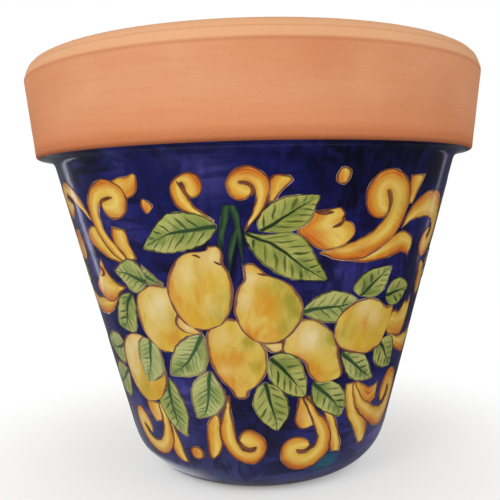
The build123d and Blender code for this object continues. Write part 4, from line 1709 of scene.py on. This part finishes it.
DRAWING = (*SCROLLS, *PETALS, *STEMS, *LEMONS, *LEAVES)
for panel, turn, mirror in (("front", 0.0, False), ("back", 180.0, True)):
    for name in DRAWING:
        paint_shape(panel, name, turn, mirror)
    for name, points in LINES.items():
        width = FINE_LINE_WIDTH if name.startswith("lemon") else LINE_WIDTH
        brush_line(f"{panel}_line_{name}", moved(points, turn, mirror), width, LINE_LAYER, LINE)
for panel, turn in (("right", 0.0), ("left", -180.0)):
    for name, shift, rise, paired in SIDE_PLAN:
        paint_shape(panel, name, shift + turn, False, rise)
        if paired:
            paint_shape(f"{panel}_mirrored", name, 180.0 - shift + turn, True, rise)

# ---------------------------------------------------------------- floor, lamps and camera

FLOOR_SIZE = 12.0
PALE_FLOOR = srgb(246, 245, 243)
WHITE = (1.0, 1.0, 1.0, 1.0)
WARM_WHITE = (1.0, 0.985, 0.97, 1.0)
AMBIENT_LEVEL = 0.6
# What the glaze mirrors: a dim room round the camera, darker to the right, the
# white backdrop behind the pot, and a strip of floor at the left of the foot that
# glows in the glaze alone, a painted highlight on the foot
ROOM_LEFT, ROOM_RIGHT = 0.16, 0.07
BACKDROP_RISE = 0.87
FOOT_GLOW = 1.1
NEAR_DIMMING = 0.6
NEAR_WHITENESS = 0.5
# Distances from the pot's axis, in metres, over which the floor changes: it is
# bare under the foot, turns white further off, and is mirrored less near by
UNDER_FOOT = (0.05, 0.075)
WHITE_FLOOR = (0.09, 0.27)
DIM_FLOOR = (0.1, 0.2)
GLOW_STRIP = ((0.068, 0.073), (0.08, 0.09))
GLOW_LEFT = (-0.62, -0.3)


def mirrored_room(tree, heading):
    """Brightness of the surroundings as the glaze mirrors them, by heading."""
    dim = smooth_step(tree, heading.outputs["X"], -0.6, 0.6, ROOM_LEFT, ROOM_RIGHT)
    behind = smooth_step(tree, heading.outputs["Y"], 0.93, 0.99, 0.0, BACKDROP_RISE)
    return plus(tree, dim, behind)


def seen_through(tree, path):
    """1 for the camera, also through what is clear."""
    camera, clear = path.outputs["Is Camera Ray"], path.outputs["Is Transmission Ray"]
    return maths(tree, "MAXIMUM", camera, clear)


def floor_material():
    """Pale floor that keeps the pot's shadow near it, and turns to plain white
    further off for the camera. In the glaze it falls off to the dim room, and
    is white again under the backdrop; a strip at the left of the foot glows
    there alone, a painted highlight on the foot.
    """
    material = bpy.data.materials.new("pale_floor")
    material.use_nodes = True
    tree = material.node_tree
    tree.nodes.clear()
    place = object_place(tree)
    away = node(tree, "ShaderNodeVectorMath", {0: place}, operation="LENGTH").outputs["Value"]
    path = node(tree, "ShaderNodeLightPath")
    seen = seen_through(tree, path)
    mirrored = path.outputs["Is Glossy Ray"]
    outward = node(tree, "ShaderNodeVectorMath", {0: place}, operation="NORMALIZE").outputs[0]
    heading = node(tree, "ShaderNodeSeparateXYZ", {0: outward})
    strip = between(tree, away, *GLOW_STRIP)
    # A strip of floor left of the foot that glows in the glaze alone: a painted highlight on the
    # foot
    glow = times(tree, strip, smooth_step(tree, heading.outputs["X"], *GLOW_LEFT, 1.0, 0.0))
    around = plus(tree, mirrored_room(tree, heading), times(tree, glow, FOOT_GLOW))
    cover = maths(tree, "MAXIMUM", smooth_step(tree, away, *DIM_FLOOR, NEAR_DIMMING, 1.0), glow)
    whiteness = smooth_step(tree, away, *WHITE_FLOOR, NEAR_WHITENESS, 1.0)
    whiteness = times(tree, whiteness, smooth_step(tree, away, *UNDER_FOOT))
    share = plus(tree, times(tree, whiteness, seen), times(tree, cover, mirrored))
    level = plus(tree, seen, times(tree, around, mirrored))
    near = node(tree, "ShaderNodeBsdfDiffuse", {"Color": PALE_FLOOR})
    far = node(tree, "ShaderNodeEmission", {"Color": WHITE, "Strength": level})
    blend = node(tree, "ShaderNodeMixShader", {0: share, 1: near.outputs[0], 2: far.outputs[0]})
    out = tree.nodes.new("ShaderNodeOutputMaterial")
    tree.links.new(blend.outputs[0], out.inputs["Surface"])
    return material


half = FLOOR_SIZE / 2
floor_mesh = bpy.data.meshes.new("floor")
corners = [(-half, -half, 0), (half, -half, 0), (half, half, 0), (-half, half, 0)]
floor_mesh.from_pydata(corners, [], [(0, 1, 2, 3)])
floor_mesh.materials.append(floor_material())
floor = bpy.data.objects.new("floor", floor_mesh)
bpy.context.scene.collection.objects.link(floor)

world = bpy.data.worlds.new("pale_room")
bpy.context.scene.world = world
world.use_nodes = True
world_tree = world.node_tree
world_tree.nodes.clear()


def lit(colour, strength):
    given = {"Color": colour, "Strength": strength}
    return node(world_tree, "ShaderNodeBackground", given).outputs[0]


def either(share, first, second):
    return node(world_tree, "ShaderNodeMixShader", {0: share, 1: first, 2: second}).outputs[0]


generated = node(world_tree, "ShaderNodeTexCoord").outputs["Generated"]
heading = node(world_tree, "ShaderNodeSeparateXYZ", {0: generated})
path = node(world_tree, "ShaderNodeLightPath")
seen = seen_through(world_tree, path)
surroundings = either(seen, lit(WARM_WHITE, AMBIENT_LEVEL), lit(WHITE, 1.0))
mirrored = lit(WHITE, mirrored_room(world_tree, heading))
surroundings = either(path.outputs["Is Glossy Ray"], surroundings, mirrored)
world_out = world_tree.nodes.new("ShaderNodeOutputWorld")
world_tree.links.new(surroundings, world_out.inputs["Surface"])


def aimed(place, target):
    """Rotation that points an object's -Z from one place at another."""
    away = Vector(target) - Vector(place)
    return away.to_track_quat("-Z", "Y").to_euler()


def soft_lamp(name, place, target, wide, tall, watts, colour):
    """A rectangular lamp, sized in metres, that the camera doesn't see."""
    data = bpy.data.lights.new(name, "AREA")
    data.shape = "RECTANGLE"
    data.size, data.size_y = wide, tall
    data.energy = watts
    data.color = colour
    lamp = bpy.data.objects.new(name, data)
    lamp.location = place
    lamp.rotation_euler = aimed(place, target)
    lamp.visible_camera = False
    bpy.context.scene.collection.objects.link(lamp)


POT_MIDDLE = (0.0, 0.0, 0.14)
LEFT_SHOULDER, RIGHT_SHOULDER = (-0.1, -0.06, 0.15), (0.1, 0.0, 0.13)
# Name, place, target, width, height, watts and colour. Two narrow lamps behind the
# pot's shoulders, too weak to light it, give the tall streaks in the glaze.
LAMPS = (
    ("key_lamp", (-0.9, -1.3, 0.95), POT_MIDDLE, 0.7, 0.7, 13.0, (1.0, 0.97, 0.93)),
    ("fill_lamp", (1.3, -1.0, 0.6), POT_MIDDLE, 0.8, 0.8, 5.4, (1.0, 0.97, 0.94)),
    (
        "left_streak_lamp", (-0.43, 0.22, 0.1), LEFT_SHOULDER, 0.034, 0.24, 0.065,
        (0.84, 0.83, 1.0),
    ),
    (
        "right_streak_lamp", (0.5, 0.33, 0.13), RIGHT_SHOULDER, 0.03, 0.26, 0.02,
        (1.0, 0.9, 0.92),
    ),
)
for lamp in LAMPS:
    soft_lamp(*lamp)

# The camera stands where the photograph was taken from: close, a little above
# the rim's lower edge and slightly tilted, with the lens fitted to the outline.
CAMERA_PLACE = (0.0, -0.47202, 0.18002)
CAMERA_PITCH, CAMERA_ROLL, CAMERA_YAW = -0.0739, -0.0238, -0.0086
FRAME_PIXELS, LENS_PIXELS, SENSOR_MM = 500.0, 671.7, 36.0

flat_share = math.cos(CAMERA_PITCH)
ahead = np.array(
    [math.sin(CAMERA_YAW) * flat_share, math.cos(CAMERA_YAW) * flat_share, math.sin(CAMERA_PITCH)]
)
level = np.array([math.cos(CAMERA_YAW), -math.sin(CAMERA_YAW), 0.0])
upward = np.cross(level, ahead)
right = level * math.cos(CAMERA_ROLL) + upward * math.sin(CAMERA_ROLL)
top = upward * math.cos(CAMERA_ROLL) - level * math.sin(CAMERA_ROLL)
camera_data = bpy.data.cameras.new("camera")
camera_data.sensor_width = SENSOR_MM
camera_data.lens = LENS_PIXELS / FRAME_PIXELS * SENSOR_MM
camera_data.clip_start = 0.01
camera = bpy.data.objects.new("camera", camera_data)
turned = np.stack([right, top, -ahead], -1).tolist()
placing = [[*row, place] for row, place in zip(turned, CAMERA_PLACE)]
camera.matrix_world = Matrix([*placing, [0, 0, 0, 1]])
bpy.context.scene.collection.objects.link(camera)
bpy.context.scene.camera = camera
bpy.context.scene.view_settings.view_transform = "Standard"
